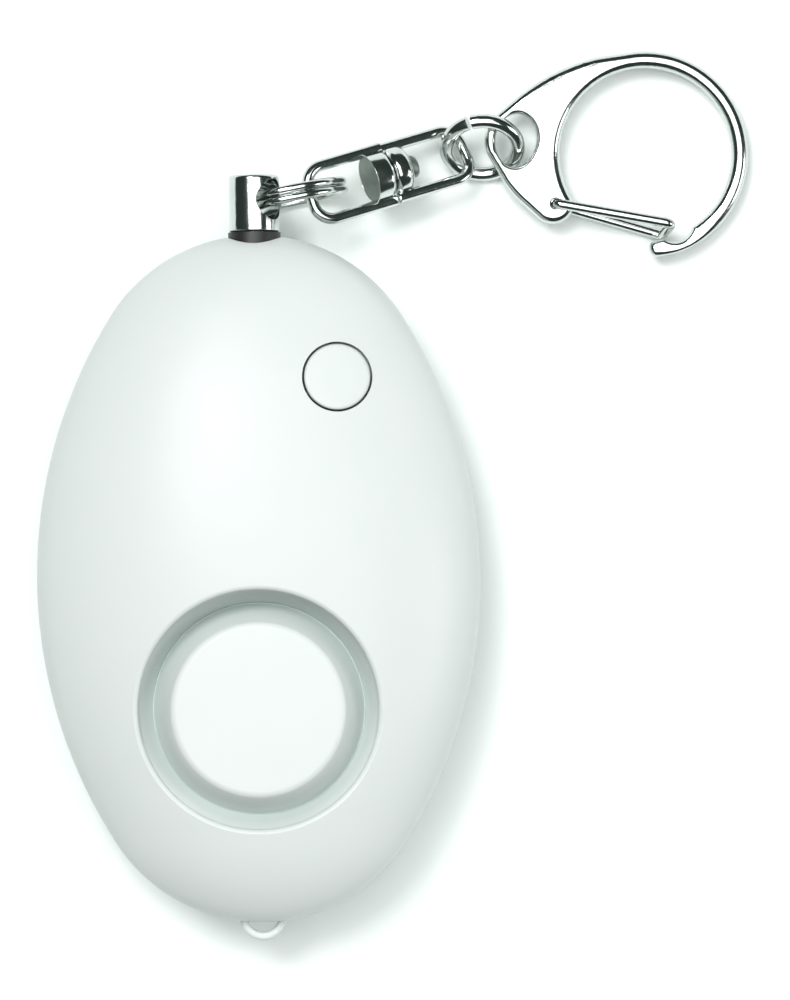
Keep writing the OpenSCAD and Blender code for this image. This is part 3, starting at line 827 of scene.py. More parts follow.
@dataclass
class CaseForm:
    """Egg form that both shells share: arcs in plan, half ellipses across."""

    half_l: float = 30.0
    half_w: float = 19.35
    end_r: float = 15.0
    front_h: float = 9.6
    rear_h: float = 8.4
    rear_crown: float = 9.0
    wall: float = 1.6
    # A point is on the skin when this near to it, this far from the parting line and the ends
    skin_near: float = 0.004
    skin_from_parting: float = 0.2
    skin_from_end: float = 0.02

    def half_width(self, y: np.ndarray, inset: float) -> np.ndarray:
        """Gives half the width of the outline.

        Args:
            y: Stations along the case.
            inset: Distance inside the outer outline.

        Returns:
            Half widths, zero beyond the ends.
        """
        end_c = self.half_l - self.end_r
        side_r = (self.half_w**2 + end_c**2 - self.end_r**2) / (2 * (self.half_w - self.end_r))
        off = side_r - self.half_w
        join = (side_r - inset) * end_c / math.hypot(off, end_c)
        side = np.sqrt(np.maximum((side_r - inset) ** 2 - y**2, 0)) - off
        tip = np.sqrt(np.maximum((self.end_r - inset) ** 2 - (np.abs(y) - end_c) ** 2, 0))
        return np.where(np.abs(y) < join, side, tip)

    def dome(self, x: np.ndarray, y: np.ndarray, inset: float, depth: float) -> np.ndarray:
        """Gives the height of a domed half above the parting line.

        Args:
            x: Places across the case.
            y: Places along the case.
            inset: Distance inside the outer skin.
            depth: Height at the middle.

        Returns:
            Heights, zero outside the outline.
        """
        w = self.half_width(y, inset)
        return depth / (self.half_w - inset) * np.sqrt(np.maximum(w**2 - x**2, 0))

    def slope(self, side: int) -> Slope:
        """Prepares the outer skin's normals.

        Args:
            side: One for the front half, minus one for the rear.

        Returns:
            A function for follow_form.
        """
        depth = self.front_h if side > 0 else self.rear_crown
        k = depth / self.half_w

        def at(points: np.ndarray) -> tuple[np.ndarray, np.ndarray]:
            """Finds the points that lie on the skin.

            Args:
                points: Places in millimetres.

            Returns:
                Which of them lie on the skin, and its normals there.
            """
            x, y = points[:, 0], points[:, 1]
            rise = (points[:, 2] - self.rear_h) * side
            w, step = self.half_width(y, 0.0), 1e-3
            grow = (self.half_width(y + step, 0.0) - self.half_width(y - step, 0.0)) / (2 * step)
            normal = np.stack([x, -w * grow, side * rise / k**2], 1)
            normal /= np.maximum(np.linalg.norm(normal, axis=1, keepdims=True), 1e-9)
            on_skin = np.abs(self.dome(x, y, 0.0, depth) - rise) < self.skin_near
            on_skin &= rise > self.skin_from_parting
            return on_skin & (np.abs(y) < self.half_l - self.skin_from_end), normal

        return at

    def reach(self, angle: np.ndarray, centre_y: float, inside: Region) -> np.ndarray:
        """Finds how far a ray from the centre line goes before it leaves a region.

        Args:
            angle: Directions of the rays.
            centre_y: Start of the rays on the centre line.
            inside: Tells which points are in the region.

        Returns:
            Distances to the edge of the region.
        """
        # The first guess lies past the far end of the case, and each round halves the doubt
        low, high = np.zeros_like(angle), np.full_like(angle, 2.2 * self.half_l)
        for _ in range(50):
            mid = (low + high) / 2
            ok = inside(mid * np.cos(angle), centre_y + mid * np.sin(angle))
            low, high = np.where(ok, mid, low), np.where(ok, high, mid)
        return low

    def outline(self, angle: np.ndarray, centre_y: float, inset: float) -> np.ndarray:
        """Distances from a point on the centre line to the outline."""
        return self.reach(angle, centre_y, lambda x, y: np.abs(x) < self.half_width(y, inset))


@dataclass
class Housing:
    """Both shells, the sounder cap and the push button."""

    form: CaseForm = field(default_factory=CaseForm)
    sounder_y: float = SOUNDER_Y
    recess_r: float = 10.35
    recess_bow: float = 0.9
    rim_round: float = 0.45
    moat_r: float = 9.2
    moat_h: float = 4.9
    well_r: float = 11.65
    seat_r: float = 10.5
    seat_h: float = 4.6
    flange_r: float = 10.4
    flange_h: float = 4.1
    plateau_r: float = 7.4
    plateau_h: float = 7.9
    cap_wall: float = 1.2
    cap_gap: float = 0.01
    cap_foot: float = 0.08
    cap_skirt: float = 0.2
    button_at: tuple[float, float] = (7.15, 17.4)
    button_r: float = 2.85
    button_hole_r: float = 3.03
    button_cut: float = 30.0
    button_cut_z: float = 20.0
    button_proud: float = 0.12
    button_soft: float = 0.3
    button_flange_r: float = 3.6
    button_levels: tuple[float, float] = (11.0, 12.0)
    nose_r: float = 2.4
    nose_cut: float = 12.0
    parting: float = 0.1
    sound_hole_r: float = 0.8
    sound_pitch: float = 2.4
    sound_row_step: float = 0.92
    sound_rows: tuple[int, ...] = (3, 4, 3)
    sound_from_axis: float = 2.6
    sound_cut: float = 8.0
    sound_cut_z: float = 0.13
    screws: tuple[tuple[float, float], ...] = ((-8.6, 19.6), (0.0, -24.6))
    screw_bore_r: float = 1.05
    screw_well_r: float = 2.0
    screw_boss_r: float = 2.2
    screw_seat: float = 5.1
    screw_cut: float = 12.0
    boss_sink: float = 0.7
    loop_y: float = -29.6
    loop_r: float = 1.7
    loop_half_bar: float = 0.35
    loop_half_t: float = 0.6
    loop_round: float = 0.28
    loop_drop: float = 1.0
    loop_ends: tuple[float, float] = (172.0, 368.0)
    columns: int = 288
    front_rows: int = 64
    rear_rows: int = 48

    def cut_nose(self, shell: bpy.types.Object) -> None:
        """Cuts the half hole for the pin socket's nose into the top of a shell."""
        at = (0, self.form.half_l, self.form.rear_h)
        bore(shell, self.nose_r, self.nose_cut, at, (0, 1, 0))

    def front_shell(self) -> bpy.types.Object:
        """Builds the front half as one closed skin: parting line, dome, recess and inner wall.

        Returns:
            The front shell.
        """
        f = self.form
        skin = Skin(self.columns)
        angle = skin.angle
        spread = np.sin(np.linspace(0, 1, self.front_rows) * np.pi / 2)

        def dome(r: float | np.ndarray, inset: float) -> np.ndarray:
            """Gives the height over the parting line at a radius from the sounder's axis."""
            x, y = r * np.cos(angle), self.sounder_y + r * np.sin(angle)
            return f.dome(x, y, inset, f.front_h - inset)

        edge = f.outline(angle, self.sounder_y, 0)
        inner_edge = f.outline(angle, self.sounder_y, f.wall)
        skin.add(edge - self.parting, 0)
        start = self.recess_r + self.rim_round
        for s in spread[::-1]:
            r = start + (edge - start) * s
            skin.add(r, np.maximum(dome(r, 0), self.parting))
        crown = dome(start, 0)
        for k in range(1, 7):
            turn = math.pi / 2 * (1 - k / 6)
            drop = self.rim_round * (1 - math.sin(turn))
            skin.add(start - self.rim_round * math.cos(turn), crown - drop)
        rim, run = crown - self.rim_round, self.recess_r - self.moat_r
        for k in range(1, 9):
            height = rim + (self.moat_h - rim) * (k / 8) ** self.recess_bow
            skin.add(self.recess_r - run * k / 8, height)
        skin.add(self.moat_r, self.seat_h)
        skin.add(self.seat_r, self.seat_h)
        skin.add(self.seat_r, self.flange_h)
        skin.add(self.well_r, self.flange_h)
        for s in spread[::3]:
            r = self.well_r + (inner_edge - self.well_r) * s
            skin.add(r, dome(r, f.wall))
        skin.add(inner_edge, 0)
        skin.add(edge - self.parting, 0)
        shell = skin.wrap("front_case", (0, self.sounder_y, f.rear_h))
        cut_at = (*self.button_at, self.button_cut_z)
        bore(shell, self.button_hole_r, self.button_cut, cut_at)
        self.cut_nose(shell)
        dress(shell, WHITE_ABS_FRONT, Link.HOUSING, "front_shell", crease=28)
        follow_form(shell, f.slope(1))
        return shell

    def rear_shell(self) -> bpy.types.Object:
        """Builds the rear half with its flat, sound holes, screw wells and cord loop.

        Returns:
            The rear shell.
        """
        f = self.form
        skin = Skin(self.columns)
        angle = skin.angle
        spread = np.sin(np.linspace(0, 1, self.rear_rows) * np.pi / 2)

        def depth(r: np.ndarray, inset: float) -> np.ndarray:
            """Gives the depth below the parting line at a radius from the middle."""
            return f.dome(r * np.cos(angle), r * np.sin(angle), inset, f.rear_crown - inset)

        def flat_edge(inset: float, level: float) -> np.ndarray:
            """Gives the radius at which the skin runs into the flat."""
            return f.reach(angle, 0, lambda x, y: f.dome(x, y, inset, f.rear_crown - inset) > level)

        for inset, level, inward in ((f.wall, f.rear_h - f.wall, False), (0.0, f.rear_h, True)):
            edge, flat = f.outline(angle, 0, inset), flat_edge(inset, level)
            rows = [(flat * k / 7, -level) for k in range(7)]
            for s in spread:
                r = flat + (edge - flat) * s
                rows.append((r, -np.minimum(depth(r, inset), level)))
            if inward:
                rows[-1] = (edge, -self.parting)
                rows.append((edge - self.parting, 0))
                rows.reverse()
            for radius, height in rows:
                skin.add(radius, height)
        shell = skin.wrap("rear_case", (0, 0, f.rear_h))
        self.cut_nose(shell)
        for row, count in enumerate(self.sound_rows):
            y = self.sound_from_axis + self.sounder_y + row * self.sound_row_step * self.sound_pitch
            for i in range(count):
                x = (i - (count - 1) / 2) * self.sound_pitch
                bore(shell, self.sound_hole_r, self.sound_cut, (x, y, self.sound_cut_z))
        for x, y in self.screws:
            bore(shell, self.screw_well_r, self.screw_cut, (x, y, 0))
        weld(shell)
        unite(shell, [*(self.screw_boss(x, y) for x, y in self.screws), self.cord_loop()])
        dress(shell, WHITE_ABS, Link.HOUSING, "rear_shell", crease=28)
        follow_form(shell, f.slope(-1))
        return shell

    def screw_boss(self, x: float, y: float) -> bpy.types.Object:
        """Builds the tube that a screw's head sits in.

        Args:
            x: Place across the case.
            y: Place along the case.

        Returns:
            The tube, from inside the wall up to the parting line.
        """
        f = self.form
        skin_depth = float(f.dome(np.array(x), np.array(y), 0.0, f.rear_crown))
        low, seat, top = f.rear_h - skin_depth + self.boss_sink, self.screw_seat, f.rear_h
        hole, well, boss = self.screw_bore_r, self.screw_well_r, self.screw_boss_r
        profile = [
            (hole, seat), (well, seat), (well, low), (boss, low), (boss, top), (hole, top),
            (hole, seat),
        ]
        tube_piece = turned("screw_well", profile, 64)
        tube_piece.data.transform(moved((x, y, 0)))
        return tube_piece

    def cord_loop(self) -> bpy.types.Object:
        """Builds the small loop at the foot of the case.

        Returns:
            The loop, its ends inside the wall.
        """
        b, t, soft = self.loop_half_bar, self.loop_half_t, self.loop_round
        section = rounded(
            [(b, 0), (b, t), (-b, t), (-b, -t), (b, -t), (b, 0)], [0, soft, soft, soft, soft, 0]
        )
        across, (first, end) = np.array(section), self.loop_ends

        def place(u: np.ndarray, v: np.ndarray) -> np.ndarray:
            """Bends the section round the loop.

            Args:
                u: Share of the way along the loop.
                v: Share of the way round its section.

            Returns:
                Points in millimetres.
            """
            turn = np.radians(first + u * (end - first))
            pick = across[np.rint(v * (len(across) - 1)).astype(int)]
            r, z = self.loop_r + pick[:, 0], self.form.rear_h - self.loop_drop + pick[:, 1]
            return np.stack([r * np.cos(turn), self.loop_y + r * np.sin(turn), z], 1)

        loop = wrapped_grid("cord_loop", 48, len(section) - 1, place)
        bpy.ops.object.mode_set(mode="EDIT")
        bpy.ops.mesh.fill_holes(sides=0)
        bpy.ops.object.mode_set(mode="OBJECT")
        return loop

    def sounder_cap(self) -> bpy.types.Object:
        """Builds the cap: a flat plateau with a soft edge and a slope down into the moat.

        Returns:
            The cap.
        """
        edge, under = self.moat_r - self.cap_gap, self.plateau_h - self.cap_wall
        profile = rounded(
            [
                (0, self.plateau_h),
                (self.plateau_r, self.plateau_h),
                (edge - self.cap_foot, self.moat_h),
                (edge, self.moat_h),
                (edge, self.seat_h),
                (self.flange_r, self.seat_h),
                (self.flange_r, self.flange_h),
                (self.plateau_r - self.cap_skirt, self.flange_h),
                (self.plateau_r - self.cap_wall, under),
                (0, under),
            ],
            [0, 0.7, 0.08, 0.02, 0, 0.05, 0.05, 0.05, 0.3, 0],
            7,
        )
        cap = turned("sounder_disc_cap", profile, 160)
        cap.data.transform(moved((0, self.sounder_y, self.form.rear_h)))
        dress(cap, WHITE_ABS_SATIN, Link.HOUSING, "sounder_cap", crease=40)
        return cap

    def push_button(self) -> bpy.types.Object:
        """Builds the button, its top following the case.

        Returns:
            The button.
        """
        f, soft = self.form, self.button_soft
        skin = Skin(96)
        bx, by = self.button_at

        def top(r: float) -> np.ndarray:
            """Gives the height of the crown at one radius."""
            x, y = bx + r * np.cos(skin.angle), by + r * np.sin(skin.angle)
            return f.dome(x, y, 0, f.front_h + self.button_proud)

        flat_r = self.button_r - soft
        for k in range(11):
            skin.add(flat_r * k / 10, top(flat_r * k / 10))
        for k in range(1, 7):
            turn = math.pi / 2 * k / 6
            r = flat_r + soft * math.sin(turn)
            skin.add(r, top(r) - soft * (1 - math.cos(turn)))
        low, high = (level - f.rear_h for level in self.button_levels)
        skin.add(self.button_r, high)
        skin.add(self.button_flange_r, high)
        skin.add(self.button_flange_r, low)
        skin.add(0, low)
        button = skin.wrap("panic_button", (bx, by, f.rear_h))
        dress(button, WHITE_ABS_SATIN, Link.BUTTON, "push_button", crease=40)
        return button


@dataclass
class Chain:
    """Pull pin, split ring, swivel, jump ring and snap hook, each hung on the one before."""

    hole: Point = (0.0, 33.05, 8.4)
    head_base: float = 30.25
    head_l: float = 4.95
    head_r: float = 2.225
    shaft_r: float = 1.25
    shaft_l: float = 13.0
    # How far the shaft's profile lies inside its radius, and how far from its tip
    shaft_steps: Profile = (
        (0.7, 0.0), (0.0, 1.0), (0.0, 3.0), (0.25, 3.3), (0.25, 3.7), (0.0, 4.0)
    )
    hole_r: float = 1.62
    hole_turn: float = 52.0
    hole_flare_r: float = 2.9
    hole_flare_from: float = 0.55
    drill_half: float = 6.0
    ring_r: float = 4.6
    ring_wire: float = 0.75
    ring_heading: float = 10.8
    ring_dip: float = 45.4
    ring_play: float = 0.1
    ring_back: float = 0.1
    ring_gap: float = 0.03
    # Degrees at which the wire starts and ends, where it crosses over, and how it is turned
    ring_ends: tuple[float, float] = (28.0, 692.0)
    ring_cross: float = 344.0
    ring_cross_l: float = 32.0
    ring_turn: float = 200.0
    swivel_heading: float = 17.0
    swivel_fall: float = 20.5
    outer_roll: float = -16.0
    # Where the inner eye hangs in the split ring: along it, beside it and below its wire
    ring_lean: float = 1.65
    eye_side: float = -0.6
    link_gap: float = 0.45
    eye_half: float = 2.4
    eye_wire: float = 1.0
    eye_bend: float = 1.7
    eye_reach: float = 7.55
    eye_root: float = 0.06
    base_t: float = 1.85
    base_r: float = 2.15
    base_lip: float = 0.08
    base_gap: float = 0.04
    rivet_r: float = 0.7
    rivet_seat: float = 0.45
    rivet_head_t: float = 0.4
    rivet_play: float = 0.06
    rivet_end: float = 0.9
    rivet_fit: float = 0.02
    spin_fit: float = 0.1
    rivet_head_inset: float = 0.1
    rivet_tail: float = 0.3
    jump_step: Point = (1.56, 0.27, 0.25)
    jump_r: float = 3.175
    jump_wire: float = 1.25
    jump_tilt: float = 46.0
    jump_ends: tuple[float, float] = (113.0, 467.0)
    hook_step: tuple[float, float] = (-0.2, 0.6)
    hook_heading: float = -8.6
    hook_fall: float = 3.5
    hook_r: float = 9.1
    hook_open_r: float = 7.65
    hook_t: float = 1.6
    hook_edge: float = 0.7
    hook_tip: float = 285.0
    notch_turn: float = 15.5
    notch_r: float = 1.65
    notch_depth: float = 0.65
    # The plate is narrow near the notch and beyond the eye, and its edges are slimmer there
    neck_reach: float = 2.6
    neck_edge: float = 0.34
    nose_from: float = -12.25
    nose_edge: float = 0.48
    eye_edge: float = 0.4
    edge_blend: int = 41
    hook_eye: tuple[float, float, float, float] = (-11.55, -0.38, 1.8, 2.35)
    hook_nose: Point = (-11.4, -0.38, 2.92)
    hook_lobe: Point = (-7.55, -5.33, 1.9)
    # Upper and lower edges: middle, radius, radius of the discs along it, first and last degree
    hook_back: tuple[float, ...] = (0.89, -8.22, 17.3, 4.0, 112, 140)
    hook_belly: tuple[float, ...] = (-6.06, 0.84, 7.85, 2.0, 206, 242)
    gate_at: tuple[float, float] = (-7.35, -5.43)
    gate_hole_r: float = 0.55
    gate_cut: float = 6.0
    gate_wire: float = 0.9
    gate_z: float = 1.33
    gate_bend: float = 0.5
    gate_stub: float = 0.2
    gate_reach: tuple[float, float] = (10.4, -0.35)
    gate_back_reach: tuple[float, float] = (9.95, -1.35)

    def ring_at(self) -> np.ndarray:
        """Gives the middle of the split ring, which hangs in the pin head's hole."""
        hang = (self.ring_r + self.ring_play) * direction(self.ring_heading, self.ring_dip)
        return np.array(self.hole) + hang - self.ring_back * direction(self.ring_heading + 90)

    def swivel_at(self) -> np.ndarray:
        """Gives the middle of the swivel, whose inner eye hangs in the split ring.

        Returns:
            The place in millimetres.
        """
        roof = math.sqrt((self.ring_r - self.ring_wire / 2) ** 2 - self.ring_lean**2)
        held = self.ring_at() + self.ring_lean * direction(self.ring_heading)
        held += self.eye_side * direction(self.ring_heading + 90)
        held[2] += roof - self.eye_wire / 2 - self.link_gap
        return held + self.eye_reach * direction(self.swivel_heading, self.swivel_fall)

    def jump_at(self) -> np.ndarray:
        """Gives the middle of the jump ring, which leans on the outer eye."""
        reach = self.eye_reach * direction(self.swivel_heading, self.swivel_fall)
        return self.swivel_at() + reach + np.array(self.jump_step)

    def at_swivel(self, roll: float) -> Matrix:
        """Gives the swivel's matrix, turned about its own axis by some degrees."""
        turns = ((self.swivel_heading, "Z"), (self.swivel_fall, "Y"), (roll, "X"))
        return moved(self.swivel_at(), *turns)

    def at_hook(self) -> Matrix:
        """Gives the hook's matrix, its eye on the far side of the jump ring.

        Returns:
            The matrix, in metres.
        """
        eye_x, eye_y = self.hook_eye[:2]
        at = self.jump_at() + np.array([self.jump_r + self.hook_step[0], self.hook_step[1], 0])
        at -= eye_x * direction(self.hook_heading, self.hook_fall)
        at -= eye_y * direction(self.hook_heading + 90)
        return moved(at, (self.hook_heading, "Z"), (self.hook_fall, "Y"))

    def pull_pin(self) -> bpy.types.Object:
        """Turns the pin and drills its head.

        Returns:
            The pin.
        """
        r, s, tip, head = self.head_r, self.shaft_r, -self.shaft_l, self.head_l
        shaft = [(s - inside, tip + along) for inside, along in self.shaft_steps]
        profile = rounded(
            [(0, tip), *shaft, (s, 0), (r, 0), (r, head), (0, head)],
            [0, 0.3, 0.5, 0.1, 0.1, 0.1, 0.1, 0, 0.2, 0.32, 0],
            6,
        )
        pin = turned("pull_pin_chrome", profile, 160)
        pin.data.transform(moved((0, self.head_base, self.hole[2]), (-90, "X")))
        flare, far = r - self.hole_flare_from, self.drill_half
        bore_r, wide = self.hole_r, self.hole_flare_r
        drill_profile = rounded(
            [(0, -far), (wide, -far), (bore_r, -flare), (bore_r, flare), (wide, far), (0, far)],
            [0, 0, 1.0, 1.0, 0, 0],
            6,
        )
        drill = turned("drill", drill_profile)
        turn = math.radians(self.hole_turn)
        axis = Vector((math.sin(turn), 0, math.cos(turn)))
        drill.data.transform(moved(self.hole) @ axis.to_track_quat("Z", "Y").to_matrix().to_4x4())
        combine(pin, drill, Shape.CUT)
        dress(pin, CHROME, Link.PIN, "pull_pin", crease=40)
        return pin

    def split_ring(self) -> bpy.types.Object:
        """Winds the split ring: almost two turns with one crossing.

        Returns:
            The ring.
        """
        pitch = self.ring_wire + self.ring_gap
        turn = np.radians(np.linspace(*self.ring_ends, 420))
        step = np.clip((np.degrees(turn) - self.ring_cross) / self.ring_cross_l, 0, 1)
        lift = (step * step * (3 - 2 * step) - 0.5) * pitch
        path = np.stack([self.ring_r * np.cos(turn), self.ring_r * np.sin(turn), lift], 1)
        ring = tube("split_ring_wire", path, self.ring_wire / 2)
        turns = ((self.ring_heading, "Z"), (90, "X"), (self.ring_turn, "Z"))
        ring.data.transform(moved(self.ring_at(), *turns))
        dress(ring, CHROME, Link.RING, "split_ring")
        return ring

    def eye(self, name: str, bore_r: float, seat: float) -> bpy.types.Object:
        """Bends one swivel eye on its base, along +X.

        Args:
            name: Name of the piece.
            bore_r: Radius of the hole through the base.
            seat: Depth of the seat for the rivet's head, zero for none.

        Returns:
            The eye.
        """
        h, b, end, root = self.eye_half, self.eye_bend, self.eye_reach, self.eye_root
        bend = np.radians(np.linspace(0, 90, 24))
        upper = np.stack([end - b + b * np.sin(bend), h - b + b * np.cos(bend), 0 * bend], 1)
        lower = upper[::-1] * np.array([1, -1, 1])
        path = np.vstack([[(root, h, 0)], upper, lower, [(root, -h, 0)]])
        wire = tube(name, path, self.eye_wire / 2, sides=8)
        t, r, gap = self.base_t, self.base_r, self.base_gap
        lip, floor = r - self.base_lip, t - seat
        if seat:
            back = [(r, t), (lip, t), (lip, floor), (bore_r, floor)]
            soft = [0, 0.5, 0.03, 0.03, 0.03, 0, 0]
        else:
            back = [(r, t), (bore_r, t)]
            soft = [0, 0.45, 0.8, 0, 0]
        base = turned("base", rounded([(bore_r, gap), (r, gap), *back, (bore_r, gap)], soft))
        base.data.transform(Matrix.Rotation(math.pi / 2, 4, "Y"))
        weld(base)
        combine(wire, base, Shape.ADD)
        return wire

    def swivel(self) -> None:
        """Builds both eyes and the rivet that holds them."""
        inner = self.eye("swivel_eye_near", self.rivet_r + self.rivet_fit, self.rivet_seat)
        inner.data.transform(self.at_swivel(0) @ Matrix.Rotation(math.pi, 4, "Z"))
        dress(inner, CHROME, Link.INNER, "swivel_inner_eye")
        outer = self.eye("swivel_eye_far", self.rivet_r + self.spin_fit, 0.0)
        outer.data.transform(self.at_swivel(self.outer_roll))
        dress(outer, CHROME, Link.OUTER, "swivel_outer_eye")
        r, head, tail = self.rivet_r, self.base_r - self.rivet_head_inset, self.rivet_r + self.rivet_tail
        low, clear = -self.base_t, self.base_t + self.rivet_play
        neck, end = self.rivet_head_t - self.base_t, self.base_t + self.rivet_end
        profile = rounded(
            [
                (0, low), (head, low), (head, neck), (r, neck), (r, clear), (tail, clear), (tail, end),
                (0, end),
            ],
            [0, 0.06, 0.05, 0, 0, 0.05, 0.4, 0],
        )
        rivet = turned("swivel_rivet_steel", profile)
        rivet.data.transform(self.at_swivel(0) @ Matrix.Rotation(math.pi / 2, 4, "Y"))
        dress(rivet, DULL_PLATE, Link.INNER, "swivel_rivet", crease=40)

    def jump_ring(self) -> bpy.types.Object:
        """Bends the jump ring and leaves its cut.

        Returns:
            The ring.
        """
        turn = np.radians(np.linspace(*self.jump_ends, 180))
        path = np.stack([self.jump_r * np.cos(turn), self.jump_r * np.sin(turn), 0 * turn], 1)
        ring = tube("jump_ring_wire", path, self.jump_wire / 2, sides=8)
        ring.data.transform(moved(self.jump_at(), (self.jump_tilt, "X")))
        dress(ring, CHROME, Link.JUMP, "jump_ring")
        return ring

    def hook_discs(self, inset: float) -> np.ndarray:
        """Lists the discs whose hull is the hook's outside, the lobe last.

        Args:
            inset: Distance by which the outline is moved into the plate.

        Returns:
            Middle and radius of each disc.
        """
        discs = [(0, 0, self.hook_r), self.hook_nose]
        for x, y, arc, r, first, end in (self.hook_back, self.hook_belly):
            for a in np.radians(np.arange(first, end + 1)):
                discs.append((x + (arc - r) * math.cos(a), y + (arc - r) * math.sin(a), r))
        return np.array([*discs, self.hook_lobe]) - np.array([0, 0, inset])

    def hook_outline(self, inset: float) -> np.ndarray:
        """Draws the hook's outline: outside, lobe, opening, notch and tip.

        Args:
            inset: Distance by which the outline is moved into the plate.

        Returns:
            Points in millimetres, anticlockwise, as many for every inset.
        """
        discs = self.hook_discs(inset)
        lobe = discs[-1]
        face, opening = math.radians(self.hook_tip - 360), self.hook_open_r + inset
        turn = face + np.radians(np.linspace(0, 360, 721))
        way = np.stack([np.cos(turn), np.sin(turn)], 1)
        pick = np.argmax(way @ discs[:, :2].T + discs[:, 2], 1)
        hull = discs[pick, :2] + discs[pick, 2:] * way
        last = int(np.max(np.nonzero(pick == len(discs) - 1)))
        fine = turn[last] + np.radians(np.linspace(0, 170, 8000))
        stop = fine[int(np.argmax(np.hypot(*disc_edge(lobe, fine).T) < opening))]
        side = disc_edge(lobe, np.linspace(turn[last], stop, 60))[1:]
        begin = math.atan2(side[-1, 1], side[-1, 0]) % (2 * math.pi)
        notch_r = self.notch_r + inset
        notch_at = self.hook_open_r + self.notch_depth - self.notch_r
        middle = face + math.radians(self.notch_turn)
        half = math.acos((opening**2 + notch_at**2 - notch_r**2) / (2 * opening * notch_at))
        open_half = math.acos((notch_r**2 + notch_at**2 - opening**2) / (2 * notch_r * notch_at))
        reach = math.pi - open_half
        inner = disc_edge((0, 0, opening), np.linspace(begin, middle + half, 330))[1:]
        notch_disc = (notch_at * math.cos(middle), notch_at * math.sin(middle), notch_r)
        notch = disc_edge(notch_disc, np.linspace(middle + reach, middle - reach, 60))[1:]
        after = disc_edge((0, 0, opening), np.linspace(middle - half, face, 30))[1:]
        tip_r = (self.hook_r - self.hook_open_r) / 2
        hub_r = self.hook_r - tip_r
        tip_disc = (hub_r * math.cos(face), hub_r * math.sin(face), tip_r - inset)
        tip = disc_edge(tip_disc, face + np.radians(np.linspace(-180, 0, 30)))[1:-1]
        return np.vstack([hull[: last + 1], side, inner, notch, after, tip])

    def hook_loops(self) -> list[Loop]:
        """Lists the hook's outline and its eye with their round edges.

        Returns:
            Points, inward steps and edge radii of both loops.
        """
        step = 0.1
        outer = self.hook_outline(0.0)
        inward = (self.hook_outline(step) - outer) / step
        middle = math.radians(self.hook_tip + self.notch_turn)
        neck = self.hook_open_r * np.array([math.cos(middle), math.sin(middle)])
        edge = np.full(len(outer), self.hook_edge)
        edge[np.hypot(*(outer - neck).T) < self.neck_reach] = self.neck_edge
        edge[outer[:, 0] < self.nose_from] = self.nose_edge
        blur, lap = np.ones(self.edge_blend) / self.edge_blend, self.edge_blend // 2
        edge = np.convolve(np.concatenate([edge[-lap:], edge, edge[:lap]]), blur, "valid")
        turn = np.radians(np.linspace(360, 0, 97))[:-1]
        ring = np.stack([np.cos(turn), np.sin(turn)], 1)
        x, y, a, b = self.hook_eye
        eye = np.array([x, y]) + ring * np.array([a, b])
        return [(outer, inward, edge), (eye, ring, np.full(len(eye), self.eye_edge))]

    def snap_hook(self) -> bpy.types.Object:
        """Cuts the hook's plate with its eye and the gate's hole.

        Returns:
            The hook.
        """
        hook = plate("snap_hook_plate", self.hook_loops(), self.hook_t)
        bore(hook, self.gate_hole_r, self.gate_cut, (*self.gate_at, 0))
        hook.data.transform(self.at_hook())
        dress(hook, CHROME, Link.HOOK, "snap_hook", crease=35)
        return hook

    def hook_gate(self) -> bpy.types.Object:
        """Bends the sprung wire gate.

        Returns:
            The gate.
        """
        x, y, z, bend = *self.gate_at, self.gate_z, self.gate_bend
        front, rear = self.gate_reach, self.gate_back_reach
        stations = (
            (x, y, self.gate_stub),
            (x, y, z),
            (x + front[0], y + front[1], z),
            (x + rear[0], y + rear[1], -z),
            (x, y, -z),
            (x, y, -self.gate_stub),
        )
        corners = [Vector(p) for p in stations]
        path = [corners[0]]
        for before, here, after in zip(corners, corners[1:], corners[2:]):
            start, end, hub = corner(before, here, after, bend)
            from_hub, to_hub = (start - hub).normalized(), (end - hub).normalized()
            path += [hub + from_hub.slerp(to_hub, k / 12) * bend for k in range(13)]
        path.append(corners[-1])
        gate = tube("hook_gate_wire", np.array([tuple(p) for p in path]), self.gate_wire / 2)
        gate.data.transform(self.at_hook())
        dress(gate, CHROME, Link.GATE, "hook_gate")
        return gate


@dataclass(frozen=True)
class Softbox:
    """One square soft light.

    Attributes:
        name: Name of the light.
        at: Place in millimetres.
        aim: Point that it faces.
        size: Width in millimetres.
        power: Power in watts.
    """

    name: str
    at: Point
    aim: Point
    size: float
    power: float

    def hang(self) -> None:
        """Adds the light to the scene."""
        data = bpy.data.lights.new(self.name, "AREA")
        data.shape = "RECTANGLE"
        data.size = data.size_y = self.size * MM
        data.energy = self.power
        lamp = bpy.data.objects.new(self.name, data)
        lamp.location = Vector(self.at) * MM
        lamp.rotation_euler = (Vector(self.aim) - Vector(self.at)).to_track_quat("-Z", "Y").to_euler()
        bpy.context.scene.collection.objects.link(lamp)


# Matt white paper under the alarm: an even diffuse sheet
PAPER = Finish("white_paper", "#F6FBF9", "#F4F9F7", rough=(0.85, 0.95), grain_mm=30)


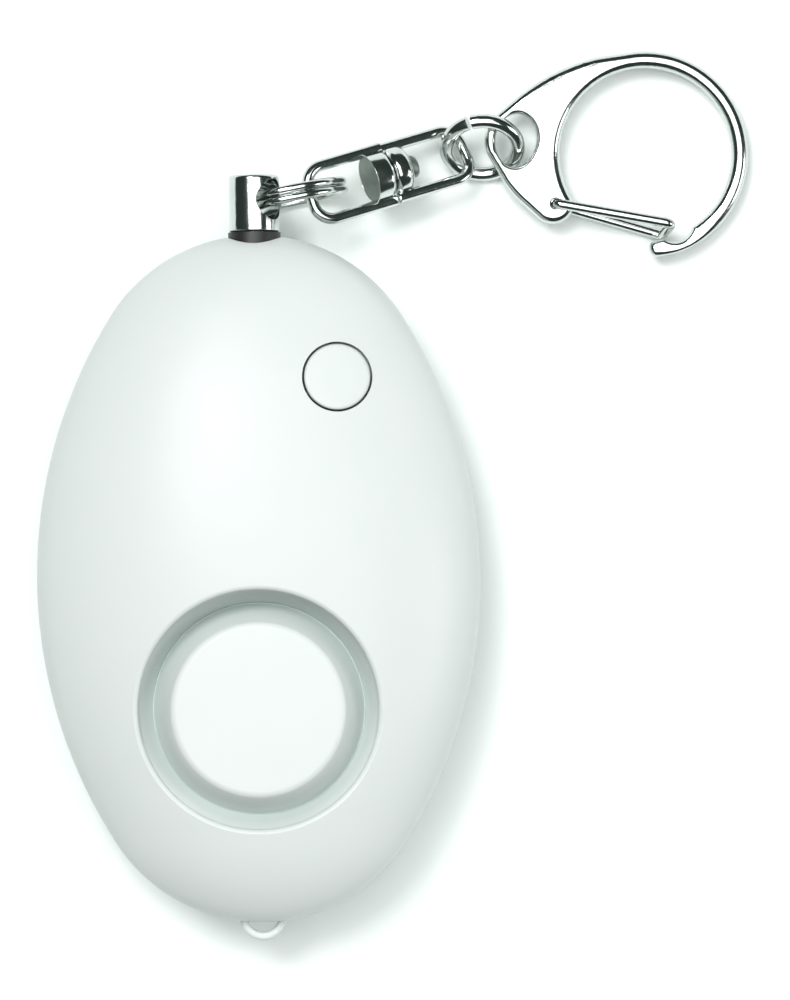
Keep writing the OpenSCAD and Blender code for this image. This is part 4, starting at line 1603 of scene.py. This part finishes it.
@dataclass
class Studio:
    """Pale floor, soft light and the camera straight above the alarm."""

    image: tuple[int, int] = (790, 1000)
    centre: Point = (11.99, 6.70, 8.4)
    distance: float = 500.0
    view_mm: float = 87.34
    roll: float = -0.73
    sensor: float = 24.0
    floor_m: float = 4.0
    sky: str = "#C4E4DA"
    sky_strength: float = 0.06
    # A wide box overhead, a key light beyond the top left and a card at the right
    boxes: tuple[Softbox, ...] = (
        Softbox("overhead", (60, 30, 900), (10, 20, 0), 900, 7.0),
        Softbox("key", (-230, 330, 840), (5, 15, 5), 340, 5.0),
        Softbox("side", (700, -100, 260), (10, 0, 5), 300, 1.3),
    )

    def camera(self) -> bpy.types.Object:
        """Sets the camera at the photograph's viewing angle.

        Returns:
            The camera.
        """
        data = bpy.data.cameras.new("above")
        data.sensor_fit = "VERTICAL"
        data.sensor_height = self.sensor
        data.sensor_width = self.sensor * self.image[0] / self.image[1]
        data.lens = data.sensor_height * self.distance / self.view_mm
        data.clip_start, data.clip_end = 0.01, 20
        cam = bpy.data.objects.new("above", data)
        x, y, z = self.centre
        cam.location = (x * MM, y * MM, (z + self.distance) * MM)
        cam.rotation_euler = (0, 0, math.radians(self.roll))
        bpy.context.scene.collection.objects.link(cam)
        bpy.context.scene.camera = cam
        return cam

    def floor(self) -> bpy.types.Object:
        """Lays a plain pale floor.

        Returns:
            The floor.
        """
        deselect()
        bpy.ops.mesh.primitive_plane_add(size=self.floor_m)
        floor = bpy.context.object
        floor.name = "floor"
        floor.data.materials.append(PAPER.material())
        return floor

    def light(self) -> None:
        """Hangs the soft lights under a weak sky, and keeps the colours plain."""
        scene = bpy.context.scene
        scene.view_settings.view_transform = "Standard"
        world = bpy.data.worlds.new("sky")
        world.use_nodes = True
        back = world.node_tree.nodes["Background"]
        back.inputs["Color"].default_value = linear(self.sky)
        back.inputs["Strength"].default_value = self.sky_strength
        scene.world = world
        for box in self.boxes:
            box.hang()


def dress_inner_pieces(nodes: dict[str, bpy.types.Object]) -> None:
    """Gives each solid that stays its own finish.

    Args:
        nodes: The frame's solids by name.
    """
    for name, finish in CAD_FINISHES.items():
        solid = nodes[name]
        solid.data.materials.clear()
        solid.data.materials.append(finish.material())


def main() -> None:
    """Builds the camera, the pieces and the light in order."""
    logging.basicConfig(level=logging.INFO, format="%(name)s %(message)s")
    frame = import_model()
    studio = Studio()
    studio.camera()
    dress_inner_pieces(frame["nodes"])
    housing = Housing()
    housing.front_shell()
    housing.rear_shell()
    housing.sounder_cap()
    housing.push_button()
    chain = Chain()
    chain.pull_pin()
    chain.split_ring()
    chain.swivel()
    chain.jump_ring()
    chain.snap_hook()
    chain.hook_gate()
    studio.floor()
    studio.light()


if __name__ == "__main__":
    main()
